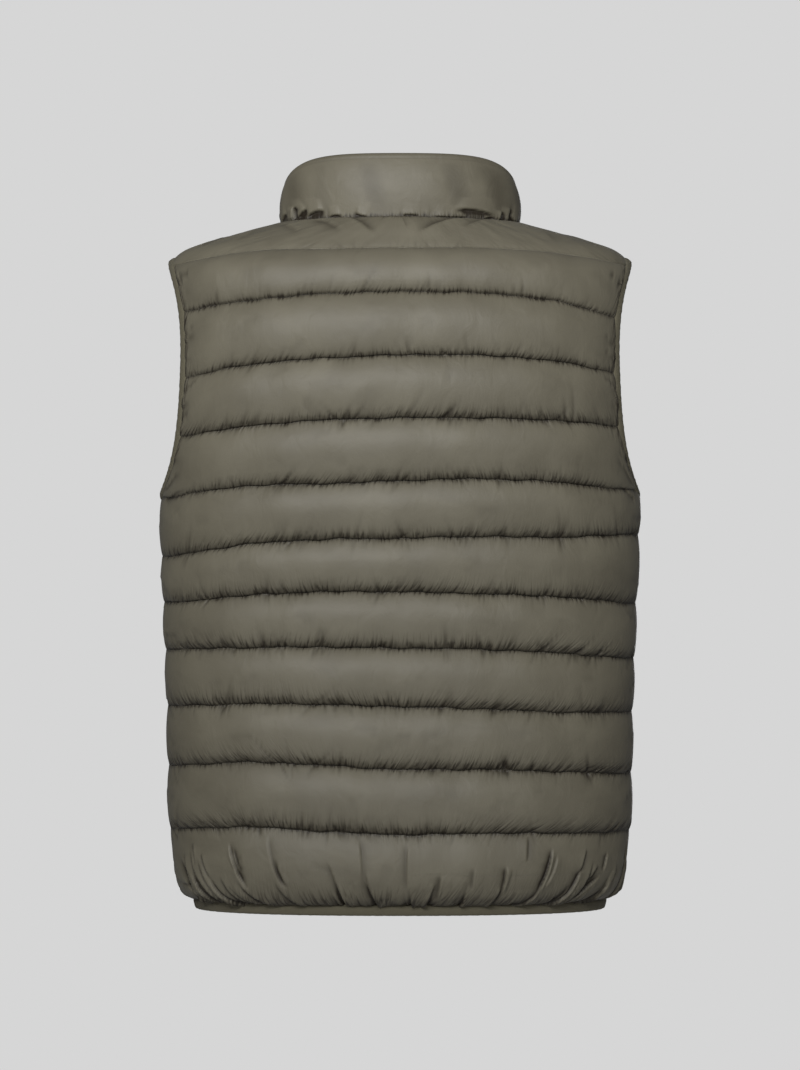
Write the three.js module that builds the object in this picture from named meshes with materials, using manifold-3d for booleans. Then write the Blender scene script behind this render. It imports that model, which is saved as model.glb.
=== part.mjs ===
// A sleeveless puffer vest, filled out as when it is worn: a hollow, quilted torso, open at the neck,
// the armholes and the hem.
// Millimetres, +Z up. The wearer faces +Y, so the back panel is on -Y and the wearer's left side on -X.
// The origin is at the middle of the neck's base, level with the neck ends of the shoulders.
import * as THREE from "three";
import { mergeVertices } from "three/addons/utils/BufferGeometryUtils.js";
import Module from "manifold-3d";

// ---- Driving dimensions -------------------------------------------------------------------------

const HEM_Z = -680; // the panels' lower edge, where the hem binding is sewn on
// Elastic binding, folded round the raw edges.
const BINDING = { width: 9, outside: 2.6, inside: 2.4, clear: 0.5 };
const SEAM_GAP = 0.3; // between pieces that are sewn together
const SEAM_WALL = 3; // both fabrics and the flattened wadding, along a line of stitches
const PUFF_OUT = 9; // crown of a quilted channel above its stitches, outside
const PUFF_IN = 4.5; // the same, on the inside
const SIDE_PUFF = 0.34; // share of the puff that is left at a side seam
const ARMHOLE_PUFF = 0.15; // the same, beside an armhole's binding

// Horizontal sections of the outer fabric at its stitches, from the hem up to above the neckline.
// halfWidth is along X, back and front are the depths along -Y and +Y, and round is the
// superellipse's power.
const SECTIONS = [
  { z: -695, halfWidth: 188, back: 96, front: 98, round: 2.3 },
  { z: HEM_Z, halfWidth: 203, back: 106, front: 108, round: 2.3 },
  { z: -672, halfWidth: 215.5, back: 113, front: 115, round: 2.3 },
  { z: -652, halfWidth: 221.5, back: 118, front: 120, round: 2.3 },
  { z: -628, halfWidth: 225.5, back: 121, front: 122, round: 2.3 },
  { z: -608, halfWidth: 229, back: 122, front: 123, round: 2.3 },
  { z: -545, halfWidth: 230.5, back: 120, front: 125, round: 2.3 },
  { z: -484, halfWidth: 231.5, back: 118, front: 126, round: 2.3 },
  { z: -427, halfWidth: 233.5, back: 117, front: 127, round: 2.3 },
  { z: -372, halfWidth: 235.5, back: 118, front: 127, round: 2.3 },
  { z: -320, halfWidth: 237.5, back: 121, front: 126, round: 2.3 },
  { z: -264, halfWidth: 238, back: 125, front: 124, round: 2.3 },
  { z: -203, halfWidth: 238.5, back: 128, front: 120, round: 2.3 },
  { z: -142, halfWidth: 237, back: 127, front: 114, round: 2.3 },
  { z: -95, halfWidth: 236, back: 122, front: 107, round: 2.3 },
  { z: -65, halfWidth: 234.5, back: 115, front: 100, round: 2.3 },
  { z: -50, halfWidth: 231.5, back: 109, front: 95, round: 2.28 },
  { z: -42, halfWidth: 226, back: 104, front: 90, round: 2.2 },
  { z: -34, halfWidth: 213, back: 98, front: 84, round: 2.15 },
  { z: -26, halfWidth: 186, back: 91, front: 79, round: 2.1 },
  { z: -18, halfWidth: 158, back: 85, front: 74, round: 2.05 },
  { z: -10, halfWidth: 132, back: 78, front: 69, round: 2 },
  { z: -2, halfWidth: 111, back: 70, front: 63, round: 2 },
  { z: 6, halfWidth: 90, back: 62, front: 56, round: 2 },
];

// Heights of the lines of stitches on the back, at the places in QUILT_X. The first is the yoke seam.
const QUILT_X = {
  farLeft: -225, left: -150, nearLeft: -75, middle: 0, nearRight: 75, right: 150, farRight: 225,
};
const QUILT_LINES = [
  { farLeft: -49, left: -38, nearLeft: -37, middle: -36, nearRight: -36, right: -39, farRight: -49 },
  { farLeft: -98, left: -88, nearLeft: -82, middle: -80, nearRight: -81, right: -88, farRight: -106 },
  { farLeft: -165, left: -151, nearLeft: -145, middle: -142, nearRight: -142, right: -147, farRight: -160 },
  { farLeft: -221, left: -211, nearLeft: -205, middle: -203, nearRight: -203, right: -205, farRight: -211 },
  { farLeft: -279, left: -269, nearLeft: -267, middle: -264, nearRight: -262, right: -265, farRight: -273 },
  { farLeft: -338, left: -326, nearLeft: -321, middle: -320, nearRight: -318, right: -319, farRight: -316 },
  { farLeft: -384, left: -376, nearLeft: -372, middle: -372, nearRight: -374, right: -377, farRight: -384 },
  { farLeft: -430, left: -427, nearLeft: -426, middle: -427, nearRight: -428, right: -432, farRight: -439 },
  { farLeft: -486, left: -482, nearLeft: -482, middle: -484, nearRight: -486, right: -490, farRight: -492 },
  { farLeft: -545, left: -539, nearLeft: -541, middle: -545, nearRight: -545, right: -548, farRight: -553 },
  { farLeft: -608, left: -602, nearLeft: -605, middle: -608, nearRight: -607, right: -608, farRight: -610 },
  Object.fromEntries(Object.keys(QUILT_X).map((place) => [place, HEM_Z])),
];

// The armhole is an upright oval in side view, given at the outer edge of its binding.
const ARMHOLE = { z: -161, halfHeight: 110, halfDepth: 58, round: 2.5 };
const ARMHOLE_BOTTOM = ARMHOLE.z - ARMHOLE.halfHeight - BINDING.width - SEAM_GAP;
const ARMHOLE_LINE = 4; // the line of stitches whose ends meet the armholes' lower ends

// The neckline is an ellipse in plan, lying on the shoulders. The collar stands on it and leans inwards.
const NECK = { halfWidth: 119, back: 71, front: through(SECTIONS, "z", "front", QUILT_LINES[1].middle) };
const COLLAR = {
  topHalfWidth: 106, topBack: 62, topFront: 90, // the top edge, in plan
  topZ: 60, frontDrop: 68, dropPower: 2.2, // its height at the back, and how it falls to the front
  wall: 9, seamWall: 4, leanPower: 3.2, standProud: 2.2, footRise: 0.8,
};

// The front shoulder seam runs from the neckline, at this angle from the back, to this depth on the
// armhole.
const SHOULDER_SEAM = { neckAngle: 116, armholeY: 34 };

// The yoke: backAngle is where its back seam ends, seen round the neck, and endPuff is the share of its
// puff that is left at the front seams.
const YOKE = { backAngle: 64, puff: 0.45, endPuff: 0.3, seamGap: SEAM_GAP + 0.1 };

const ZIP = { tapeWidth: 4.6, tapeThick: 1.2, tapeSunk: 1, chainHalf: 2.8, chainThick: 2.4, chainSunk: 0.4 };
const FRONT_EDGE = ZIP.chainHalf + ZIP.tapeWidth + 2 * SEAM_GAP; // from the middle to each front's edge
const SLIDER = {
  halfWidth: 4.6, length: 11, plate: 1.2, bridgeWide: 2.2, bridgeRise: 4.6, bridgeWall: 1.5, post: 3.6,
};
const SLIDER_DROP = 9; // from the collar's top edge down to the slider's middle
const PULL = {
  length: 27, halfWidth: 3, thick: 1.4, bar: 0.8, eye: 6.6, arm: 1.4, hingeOut: 1.5, hingeDown: 1.6,
};

// Grid steps of the faceted pieces.
const STEPS = { back: 16, shoulder: 8, front: 7, neckBand: 3, collarRise: 6 };

// Rows of a channel: each one's share of the channel's height, from its upper line, and its share
// of the puff.
const ROWS = [{ share: 0, puff: 0 }, { share: 0.3, puff: 0.9 }, { share: 0.7, puff: 0.9 }];
const ROWS_ABOVE_ARMHOLE_END = [
  ...ROWS.slice(0, 2),
  { share: 0.65, puff: 0.92 },
  { share: 0.88, puff: 0.36 },
];
const ROWS_ABOVE_HEM = [
  { share: 0, puff: 0 },
  { share: 0.28, puff: 0.9 },
  { share: 0.62, puff: 1 },
  { share: 0.86, puff: 0.8 },
  { share: 1, puff: 0 },
];


const CLOTH_COLOUR = 0x716c5f;
const BINDING_COLOUR = 0x67624f;
const METAL_COLOUR = 0x5a5a58;

// ---- Curves and sections ------------------------------------------------------------------------

function lerp(a, b, t) {
  return a + (b - a) * t;
}

const range = (n) => Array.from({ length: n }, (_, i) => i);

// Smooth value of one column of a table at a place, through every row.
function through(rows, place, column, at) {
  const rising = rows[0][place] < rows[rows.length - 1][place];
  const list = rising ? rows : [...rows].reverse();
  const clamped = Math.min(Math.max(at, list[0][place]), list[list.length - 1][place]);
  let i = list.findIndex((row) => clamped <= row[place]) - 1;
  i = Math.max(0, i);
  const slope = (k) => {
    const before = list[Math.max(k - 1, 0)];
    const after = list[Math.min(k + 1, list.length - 1)];
    return (after[column] - before[column]) / (after[place] - before[place]);
  };
  const a = list[i];
  const b = list[i + 1];
  const span = b[place] - a[place];
  const t = (clamped - a[place]) / span;
  const bend = t * (1 - t);
  const line = (b[column] - a[column]) / span;
  const start = (slope(i) - line) * span * bend * (1 - t);
  const end = (slope(i + 1) - line) * span * bend * t;
  return lerp(a[column], b[column], t) + start - end;
}

function sectionAt(z) {
  const value = (column) => through(SECTIONS, "z", column, z);
  return {
    halfWidth: value("halfWidth"),
    back: value("back"),
    front: value("front"),
    round: value("round"),
  };
}

// How far a point is outside the torso: 0 on the outer fabric, negative inside.
function outside(x, y, z) {
  const s = sectionAt(z);
  const depth = y < 0 ? s.back : s.front;
  return Math.abs(x / s.halfWidth) ** s.round + Math.abs(y / depth) ** s.round - 1;
}

function normalAt(p) {
  const step = 0.5;
  const slope = (dx, dy, dz) =>
    outside(p.x + dx, p.y + dy, p.z + dz) - outside(p.x - dx, p.y - dy, p.z - dz);
  return new THREE.Vector3(slope(step, 0, 0), slope(0, step, 0), slope(0, 0, step)).normalize();
}

// The point at a height whose angle round the torso is turn, in degrees: 0 at the middle of the
// back, 90 on +X.
function onTorso(turn, z) {
  const s = sectionAt(z);
  const angle = THREE.MathUtils.degToRad(turn);
  const depth = Math.cos(angle) > 0 ? s.back : s.front;
  const power = (value) => Math.sign(value) * Math.abs(value) ** (2 / s.round);
  return new THREE.Vector3(s.halfWidth * power(Math.sin(angle)), -depth * power(Math.cos(angle)), z);
}

function turnOf(x, y, z) {
  const s = sectionAt(z);
  const depth = y < 0 ? s.back : s.front;
  const across = Math.sign(x) * Math.abs(x / s.halfWidth) ** (s.round / 2);
  const along = -Math.sign(y) * Math.abs(y / depth) ** (s.round / 2);
  return THREE.MathUtils.radToDeg(Math.atan2(across, along));
}

// The height of the shoulders over a point of the plan.
function shoulderZ(x, y) {
  let low = -120;
  let high = SECTIONS[SECTIONS.length - 1].z;
  for (const _ of range(40)) {
    const middle = (low + high) / 2;
    if (outside(x, y, middle) > 0) high = middle;
    else low = middle;
  }
  return low;
}

// Depth, from the side seam, at which a panel ends beside the armhole. It is 0 below the armhole.
function armholeDepth(z, grow = BINDING.width + SEAM_GAP) {
  const rise = Math.abs(z - ARMHOLE.z) / (ARMHOLE.halfHeight + grow);
  if (rise >= 1) return 0;
  return (ARMHOLE.halfDepth + grow) * (1 - rise ** ARMHOLE.round) ** (1 / ARMHOLE.round);
}

// Height of the armhole's upper edge over a depth.
function armholeTop(y, grow = BINDING.width + SEAM_GAP) {
  const share = Math.abs(y) / (ARMHOLE.halfDepth + grow);
  return ARMHOLE.z + (ARMHOLE.halfHeight + grow) * (1 - share ** ARMHOLE.round) ** (1 / ARMHOLE.round);
}

function neckPoint(angle) {
  const a = THREE.MathUtils.degToRad(angle);
  const x = NECK.halfWidth * Math.sin(a);
  const y = -Math.cos(a) * (Math.cos(a) > 0 ? NECK.back : NECK.front);
  return new THREE.Vector3(x, y, shoulderZ(x, y));
}

// ---- Solids from grids --------------------------------------------------------------------------

// A closed wall between an outer and an inner grid of points (rows of columns). closedRound joins
// the last column to the first.
function wall(outer, inner, closedRound = false) {
  const rows = outer.length;
  const columns = outer[0].length;
  const positions = [...outer.flat(), ...inner.flat()].flatMap((p) => [p.x, p.y, p.z]);
  const at = (layer, r, c) => layer * rows * columns + r * columns + (c % columns);
  const faces = [];
  const quad = (a, b, c, d) => faces.push(a, b, c, a, c, d);
  const steps = closedRound ? columns : columns - 1;
  for (const r of range(rows - 1))
    for (const c of range(steps)) {
      quad(at(0, r, c), at(0, r, c + 1), at(0, r + 1, c + 1), at(0, r + 1, c));
      quad(at(1, r, c), at(1, r + 1, c), at(1, r + 1, c + 1), at(1, r, c + 1));
    }
  for (const c of range(steps)) {
    quad(at(0, 0, c), at(1, 0, c), at(1, 0, c + 1), at(0, 0, c + 1));
    quad(at(0, rows - 1, c), at(0, rows - 1, c + 1), at(1, rows - 1, c + 1), at(1, rows - 1, c));
  }
  if (!closedRound)
    for (const r of range(rows - 1)) {
      quad(at(0, r, 0), at(0, r + 1, 0), at(1, r + 1, 0), at(1, r, 0));
      const e = columns - 1;
      quad(at(0, r, e), at(1, r, e), at(1, r + 1, e), at(0, r + 1, e));
    }
  const geometry = new THREE.BufferGeometry();
  geometry.setAttribute("position", new THREE.Float32BufferAttribute(positions, 3));
  geometry.setIndex(faces);
  return facingOut(geometry);
}

// Turns every face round if the closed geometry holds a negative volume.
function facingOut(geometry) {
  const p = geometry.attributes.position;
  const index = geometry.index.array;
  const corner = (i) => new THREE.Vector3().fromBufferAttribute(p, index[i]);
  let volume = 0;
  for (let i = 0; i < index.length; i += 3) volume += corner(i).dot(corner(i + 1).cross(corner(i + 2)));
  if (volume < 0)
    for (let i = 0; i < index.length; i += 3) [index[i], index[i + 1]] = [index[i + 1], index[i]];
  return geometry;
}

// Puff of a quilted channel at a share of its height, 0 on both lines of stitches.
const puffAt = (share) => (4 * share * (1 - share)) ** 0.55;

// A quilted wall on the torso: grid holds points on the outer fabric, each with its puff from 0 to 1.
function quiltedWall(grid) {
  const moved = (cell, distance) => cell.point.clone().addScaledVector(normalAt(cell.point), distance);
  const outer = grid.map((row) => row.map((cell) => moved(cell, PUFF_OUT * cell.puff)));
  const inner = grid.map((row) => row.map((cell) => moved(cell, -SEAM_WALL - PUFF_IN * cell.puff)));
  return wall(outer, inner);
}

// ---- Quilted panels -----------------------------------------------------------------------------

// Height of a quilt line at a place across the back.
function lineZ(line, x) {
  const rows = Object.entries(QUILT_X).map(([place, at]) => ({ x: at, z: line[place] }));
  return through(rows, "x", "z", x);
}

const sideOf = (x) => (x < 0 ? "farLeft" : "farRight");

// Every row of a panel: its channel, and its share of that channel's height.
const panelRows = (() => {
  const last = QUILT_LINES.length - 2;
  const rowsIn = (channel) => {
    if (channel === ARMHOLE_LINE - 1) return ROWS_ABOVE_ARMHOLE_END;
    return channel === last ? ROWS_ABOVE_HEM : ROWS;
  };
  return range(last + 1).flatMap((channel) => rowsIn(channel).map((row) => ({ channel, ...row })));
})();

function rowZ(row, x) {
  return lerp(lineZ(QUILT_LINES[row.channel], x), lineZ(QUILT_LINES[row.channel + 1], x), row.share);
}

// Height of a row at its end, on the side seam or beside the armhole.
function sideZ(row, side) {
  const end = (channel) => (channel === ARMHOLE_LINE ? ARMHOLE_BOTTOM : QUILT_LINES[channel][side]);
  return lerp(end(row.channel), end(row.channel + 1), row.share);
}

// Where a panel's row ends at its side: on the side seam, or beside the armhole.
function sidePoint(row, side, facing) {
  const z = sideZ(row, side);
  const y = Math.max(armholeDepth(z), SEAM_GAP / 2 + 0.05) * facing;
  const s = sectionAt(z);
  const depth = facing < 0 ? s.back : s.front;
  const x = s.halfWidth * (1 - Math.abs(y / depth) ** s.round) ** (1 / s.round);
  return new THREE.Vector3(x * Math.sign(QUILT_X[side]), y, z);
}

const sidePuff = (z) => (z > ARMHOLE_BOTTOM - 1 ? ARMHOLE_PUFF : SIDE_PUFF);
const edgeFade = (across, side) => lerp(1, side, Math.abs(across) ** 5);

function backPanel() {
  return panelRows.map((row) =>
    range(STEPS.back + 1).map((c) => {
      const across = (c / STEPS.back) * 2 - 1;
      const side = sideOf(across);
      const end = sidePoint(row, side, -1);
      const atSide = sidePuff(end.z);
      if (Math.abs(across) === 1) return { point: end, puff: row.puff * atSide };
      const turn = turnOf(...end) * Math.abs(across);
      const x = onTorso(turn, end.z).x;
      return { point: onTorso(turn, rowZ(row, x)), puff: row.puff * edgeFade(across, atSide) };
    }),
  );
}

// Half of the front, from the zip to the side, with the neckline and the shoulder seam above its
// highest line.
function frontPanel(side) {
  const sign = Math.sign(QUILT_X[side]);
  const body = panelRows.filter((row) => row.channel > 0);
  const bodyGrid = body.map((row) => {
    const inner = { x: FRONT_EDGE * sign, z: rowZ(row, 0) };
    return frontRow({ inner, end: sidePoint(row, side, 1), puff: row.puff });
  });
  const seam = shoulderSeam(side).map((point) => ({ point, puff: 0 }));
  const seamEnd = armholeTop(SHOULDER_SEAM.armholeY);
  const bandGrid = range(STEPS.neckBand - 1).map((r) => {
    const share = (r + 1) / STEPS.neckBand;
    const neck = neckPoint(lerp(SHOULDER_SEAM.neckAngle, neckFoot(FRONT_EDGE), share));
    const end = armholeEnd(side, lerp(seamEnd, sideZ(body[0], side), share));
    return frontRow({ inner: { x: neck.x * sign, y: neck.y, z: neck.z }, end, puff: puffAt(share) * 0.8 });
  });
  return [seam, ...bandGrid, ...bodyGrid];
}

// The front shoulder seam, from the neckline to the armhole. shift moves it back over the shoulder.
function shoulderSeam(side, shift = 0) {
  const sign = Math.sign(QUILT_X[side]);
  const neck = neckPoint(SHOULDER_SEAM.neckAngle);
  const end = armholeEnd("farRight", armholeTop(SHOULDER_SEAM.armholeY));
  return range(STEPS.front + 1).map((c) => {
    const x = lerp(neck.x, end.x, c / STEPS.front);
    const y = lerp(neck.y, end.y, c / STEPS.front) - shift;
    return new THREE.Vector3(x * sign, y, shoulderZ(x, y));
  });
}

// The neckline's angle where it meets the zip.
function neckFoot(x) {
  return 180 - THREE.MathUtils.radToDeg(Math.asin(x / NECK.halfWidth));
}

function armholeEnd(side, z) {
  const y = armholeDepth(z);
  const s = sectionAt(z);
  const x = s.halfWidth * (1 - (y / s.front) ** s.round) ** (1 / s.round);
  return new THREE.Vector3(x * Math.sign(QUILT_X[side]), y, z);
}

function frontRow({ inner, end, puff }) {
  const s = sectionAt(inner.z);
  const y = inner.y ?? s.front * (1 - Math.abs(inner.x / s.halfWidth) ** s.round) ** (1 / s.round);
  const start = new THREE.Vector3(inner.x, y, inner.z);
  const from = turnOf(...start);
  const to = turnOf(...end);
  return range(STEPS.front + 1).map((c) => {
    const share = c / STEPS.front;
    if (share === 0) return { point: start, puff: puff * 0.25 };
    if (share === 1) return { point: end, puff: puff * sidePuff(end.z) };
    const rise = share * share * (3 - 2 * share);
    const point = onTorso(lerp(from, to, share), lerp(start.z, end.z, rise));
    return { point, puff: puff * edgeFade(share, sidePuff(end.z)) };
  });
}

// ---- Yoke, over both shoulders and behind the neck ----------------------------------------------

// Outer edge of the yoke, from the front seam on the left, over both armholes and along the back's
// highest line.
function yokeEdge(back) {
  const over = (side) => {
    const backEnd = sidePoint(panelRows[0], side, -1);
    return range(STEPS.shoulder).map((i) => {
      const y = lerp(SHOULDER_SEAM.armholeY, backEnd.y, i / STEPS.shoulder);
      const z = armholeTop(y);
      const s = sectionAt(z);
      const depth = y < 0 ? s.back : s.front;
      const x = s.halfWidth * (1 - Math.abs(y / depth) ** s.round) ** (1 / s.round);
      return new THREE.Vector3(x * Math.sign(QUILT_X[side]), y, z);
    });
  };
  return [...over("farLeft"), ...back[0].map((cell) => cell.point), ...over("farRight").reverse()];
}

function yokePanel(back) {
  const edge = yokeEdge(back);
  const last = edge.length - 1;
  const angles = edge.map((p, i) => {
    if (i < STEPS.shoulder) return -lerp(SHOULDER_SEAM.neckAngle, YOKE.backAngle, i / STEPS.shoulder);
    if (i > last - STEPS.shoulder) {
      return lerp(SHOULDER_SEAM.neckAngle, YOKE.backAngle, (last - i) / STEPS.shoulder);
    }
    return lerp(-YOKE.backAngle, YOKE.backAngle, (i - STEPS.shoulder) / STEPS.back);
  });
  const seams = {
    0: shoulderSeam("farLeft", YOKE.seamGap),
    [last]: shoulderSeam("farRight", YOKE.seamGap),
  };
  return range(STEPS.front + 1).map((r) => {
    const share = r / STEPS.front;
    return edge.map((outer, i) => {
      if (seams[i]) return { point: seams[i][r], puff: 0 };
      const inner = neckPoint(angles[i]);
      const ends = Math.min(i, last - i) / STEPS.shoulder;
      const puff = puffAt(share) * Math.min(1, YOKE.endPuff + ends) * YOKE.puff;
      if (share === 1) return { point: gapAway(outer, inner), puff: 0 };
      if (share === 0) return { point: inner, puff: 0 };
      const x = lerp(inner.x, outer.x, share);
      const y = lerp(inner.y, outer.y, share);
      return { point: new THREE.Vector3(x, y, shoulderZ(x, y)), puff };
    });
  });
}

// A point moved by a seam's gap towards another.
function gapAway(point, towards) {
  return point.clone().add(towards.clone().sub(point).setLength(2 * SEAM_GAP));
}

// ---- Collar -------------------------------------------------------------------------------------

function collarTop(angle) {
  const a = THREE.MathUtils.degToRad(angle);
  const y = -Math.cos(a) * (Math.cos(a) > 0 ? COLLAR.topBack : COLLAR.topFront);
  const drop = COLLAR.frontDrop * ((1 - Math.cos(a)) / 2) ** COLLAR.dropPower;
  return new THREE.Vector3(COLLAR.topHalfWidth * Math.sin(a), y, COLLAR.topZ - drop);
}

// The collar's outer face at an angle and a share of its height: upright at its seam, leaning in above it.
function collarPoint(angle, share) {
  const foot = neckPoint(angle);
  const top = collarTop(angle);
  const lean = share ** COLLAR.leanPower;
  return new THREE.Vector3(
    lerp(foot.x, top.x, lean),
    lerp(foot.y, top.y, lean),
    lerp(foot.z + COLLAR.footRise, top.z, share),
  );
}

function collarGeometry(angles) {
  const shares = range(STEPS.collarRise + 1).map((r) => r / STEPS.collarRise);
  const outward = (angle) => {
    const a = THREE.MathUtils.degToRad(angle);
    const depth = Math.cos(a) > 0 ? NECK.back : NECK.front;
    return new THREE.Vector3(Math.sin(a) / NECK.halfWidth, -Math.cos(a) / depth, 0).normalize();
  };
  const offTheZip = (p) => {
    if (p.y > 0) p.x = Math.sign(p.x) * Math.max(Math.abs(p.x), FRONT_EDGE);
    return p;
  };
  const swell = (share) => puffAt(Math.min(Math.max(share, 0.001), 0.999));
  const face = (inner) =>
    [...shares].reverse().map((share) =>
      angles.map((angle) => {
        const wallHere = lerp(COLLAR.seamWall, COLLAR.wall, swell(share));
        const top = share === 1 ? -COLLAR.wall / 4 : 0;
        const out = inner ? -wallHere - top : COLLAR.standProud * swell(share) + top;
        return offTheZip(collarPoint(angle, share).addScaledVector(outward(angle), out));
      }),
    );
  return wall(face(false), face(true));
}

// ---- Bindings -----------------------------------------------------------------------------------

// A folded strip along a closed or open edge. Each stop has the edge's point, the cloth's normal
// there and the direction away from the cloth.
function binding(stops, closedRound) {
  const { width, outside: out, inside, clear } = BINDING;
  const profile = [
    { away: clear, up: out - 0.9 },
    { away: width * 0.45, up: out },
    { away: width, up: out * 0.2 },
    { away: width, up: -SEAM_WALL - inside * 0.2 },
    { away: width * 0.45, up: -SEAM_WALL - inside },
    { away: clear, up: -SEAM_WALL - inside + 0.9 },
  ];
  const ring = profile.map(({ away, up }) =>
    stops.map((s) => s.point.clone().addScaledVector(s.away, away).addScaledVector(s.normal, up)),
  );
  return sweep(ring, closedRound);
}

// A solid whose sides are a closed round of lines, with flat ends where the lines themselves aren't closed.
function sweep(lines, closedRound) {
  const sides = lines.length;
  const stops = lines[0].length;
  const positions = lines.flat().flatMap((p) => [p.x, p.y, p.z]);
  const at = (side, stop) => (side % sides) * stops + (stop % stops);
  const faces = [];
  for (const side of range(sides))
    for (const stop of range(closedRound ? stops : stops - 1)) {
      faces.push(at(side, stop), at(side + 1, stop), at(side + 1, stop + 1));
      faces.push(at(side, stop), at(side + 1, stop + 1), at(side, stop + 1));
    }
  if (!closedRound)
    for (const side of range(sides - 2)) {
      faces.push(at(0, 0), at(side + 2, 0), at(side + 1, 0));
      faces.push(at(0, stops - 1), at(side + 1, stops - 1), at(side + 2, stops - 1));
    }
  const geometry = new THREE.BufferGeometry();
  geometry.setAttribute("position", new THREE.Float32BufferAttribute(positions, 3));
  geometry.setIndex(faces);
  return facingOut(geometry);
}

// Stops along an edge of the torso's cloth: away lies in the cloth, square to the edge.
function stopsAlong(points, awayFrom, closedRound) {
  const n = points.length;
  return points.map((point, i) => {
    const before = points[closedRound ? (i + n - 1) % n : Math.max(i - 1, 0)];
    const after = points[closedRound ? (i + 1) % n : Math.min(i + 1, n - 1)];
    const normal = normalAt(point);
    const away = after.clone().sub(before).normalize().cross(normal).normalize();
    if (away.dot(awayFrom(point)) < 0) away.negate();
    return { point, normal, away };
  });
}

function armholeBinding(side, back, front, yoke) {
  const left = QUILT_X[side] < 0;
  const column = left ? 0 : STEPS.back;
  const high = (cell) => cell.point.z > ARMHOLE_BOTTOM + 1;
  const behind = back.map((row) => row[column]).filter(high).map((cell) => cell.point);
  const before = front.map((row) => row[STEPS.front]).filter(high).map((cell) => cell.point);
  const edge = yoke[STEPS.front].map((cell) => cell.point);
  const over = left ? edge.slice(1, STEPS.shoulder) : edge.slice(-STEPS.shoulder, -1).reverse();
  const foot = onTorso(left ? -90 : 90, ARMHOLE_BOTTOM);
  const points = [foot, ...behind.reverse(), ...over.reverse(), ...before];
  const centre = new THREE.Vector3(0, 0, ARMHOLE.z);
  const inwards = (p) => new THREE.Vector3(0, centre.y - p.y, centre.z - p.z);
  return binding(stopsAlong(points, inwards, true), true);
}

// The hem's binding is one strip, from the zip round the back to the zip again.
function hemBinding(back, fronts) {
  const last = (grid) => grid[grid.length - 1].map((cell) => cell.point);
  const right = last(fronts.right).slice(0, -1);
  const left = last(fronts.left).slice(0, -1);
  const behind = last(back).slice(1, -1).reverse();
  const corner = (turn) => onTorso(turn, HEM_Z);
  const points = [...right, corner(90), ...behind, corner(-90), ...left.reverse()];
  return binding(stopsAlong(points, () => new THREE.Vector3(0, 0, -1), false), false);
}

// ---- Zip ----------------------------------------------------------------------------------------

// The zip's middle line, on the outer fabric, from the hem to the collar's top edge.
function zipLine() {
  const body = panelRows.filter((row) => row.channel > 0).map((row) => {
    const z = rowZ(row, 0);
    return new THREE.Vector3(0, sectionAt(z).front, z);
  });
  const collar = range(STEPS.collarRise).map((r) => collarPoint(180, (r + 1) / STEPS.collarRise));
  return [...collar.reverse(), ...body];
}

// A straight-sided strip that follows the zip's line between two distances to one side of it.
function zipStrip(line, x0, x1, front, back) {
  const shifted = (x, y) => line.map((p) => new THREE.Vector3(x, p.y + y, p.z));
  return sweep([shifted(x0, front), shifted(x1, front), shifted(x1, back), shifted(x0, back)], false);
}

function pointAtHeight(line, z) {
  const i = line.findIndex((p) => p.z < z);
  return line[i].clone().lerp(line[i - 1], (z - line[i].z) / (line[i - 1].z - line[i].z));
}

// Where the slider sits, with its front plate outside the chain, and how far it leans with the zip there.
function sliderSeat() {
  const line = zipLine();
  const z = line[0].z - SLIDER_DROP;
  const above = pointAtHeight(line, z + SLIDER.length / 2);
  const below = pointAtHeight(line, z - SLIDER.length / 2);
  const lean = Math.atan2(below.y - above.y, above.z - below.z);
  const place = above.clone().add(below).multiplyScalar(0.5);
  place.y += SLIDER.plate + 2 * SEAM_GAP - ZIP.chainSunk;
  return { place, lean };
}

// The slider in its own frame: the zip runs along Z and faces +Y, and the front plate's face is at y = 0.
function sliderGeometry(wasm) {
  const box = (x, y0, y1, z0, z1) => {
    const g = new THREE.BoxGeometry(2 * x, y1 - y0, z1 - z0);
    return g.translate(0, (y0 + y1) / 2, (z0 + z1) / 2);
  };
  const half = SLIDER.length / 2;
  const depth = ZIP.chainThick + 4 * SEAM_GAP;
  const rise = SLIDER.bridgeRise;
  const wallHere = SLIDER.bridgeWall;
  const arch = new THREE.Shape();
  arch.moveTo(-half + 1, -0.5);
  arch.lineTo(-half + 1, rise - 1.5);
  arch.quadraticCurveTo(-half + 1, rise, -half + 2.5, rise);
  arch.lineTo(half - 2.5, rise);
  arch.quadraticCurveTo(half - 1, rise, half - 1, rise - 1.5);
  arch.lineTo(half - 1, -0.5);
  arch.lineTo(half - 1 - wallHere, -0.5);
  arch.lineTo(half - 1 - wallHere, rise - wallHere);
  arch.lineTo(-half + 1 + wallHere, rise - wallHere);
  arch.lineTo(-half + 1 + wallHere, -0.5);
  arch.closePath();
  const bridge = new THREE.ExtrudeGeometry(arch, {
    depth: SLIDER.bridgeWide, bevelEnabled: false, curveSegments: 3,
  });
  bridge.translate(0, 0, -SLIDER.bridgeWide / 2); // drawn with x along the zip and y outwards
  bridge.applyMatrix4(new THREE.Matrix4().set(0, 0, 1, 0, 0, 1, 0, 0, 1, 0, 0, 0, 0, 0, 0, 1));
  if (bridge.index === null) bridge.setIndex(range(bridge.attributes.position.count));
  const parts = [
    box(SLIDER.halfWidth, -SLIDER.plate, 0, -half, half),
    box(SLIDER.halfWidth, -2 * SLIDER.plate - depth, -SLIDER.plate - depth, -half, half),
    box(ZIP.chainHalf * 0.6, -SLIDER.plate - depth - 0.5, -SLIDER.plate + 0.5, half - SLIDER.post, half),
    bridge,
  ];
  return joined(wasm, parts);
}

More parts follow.
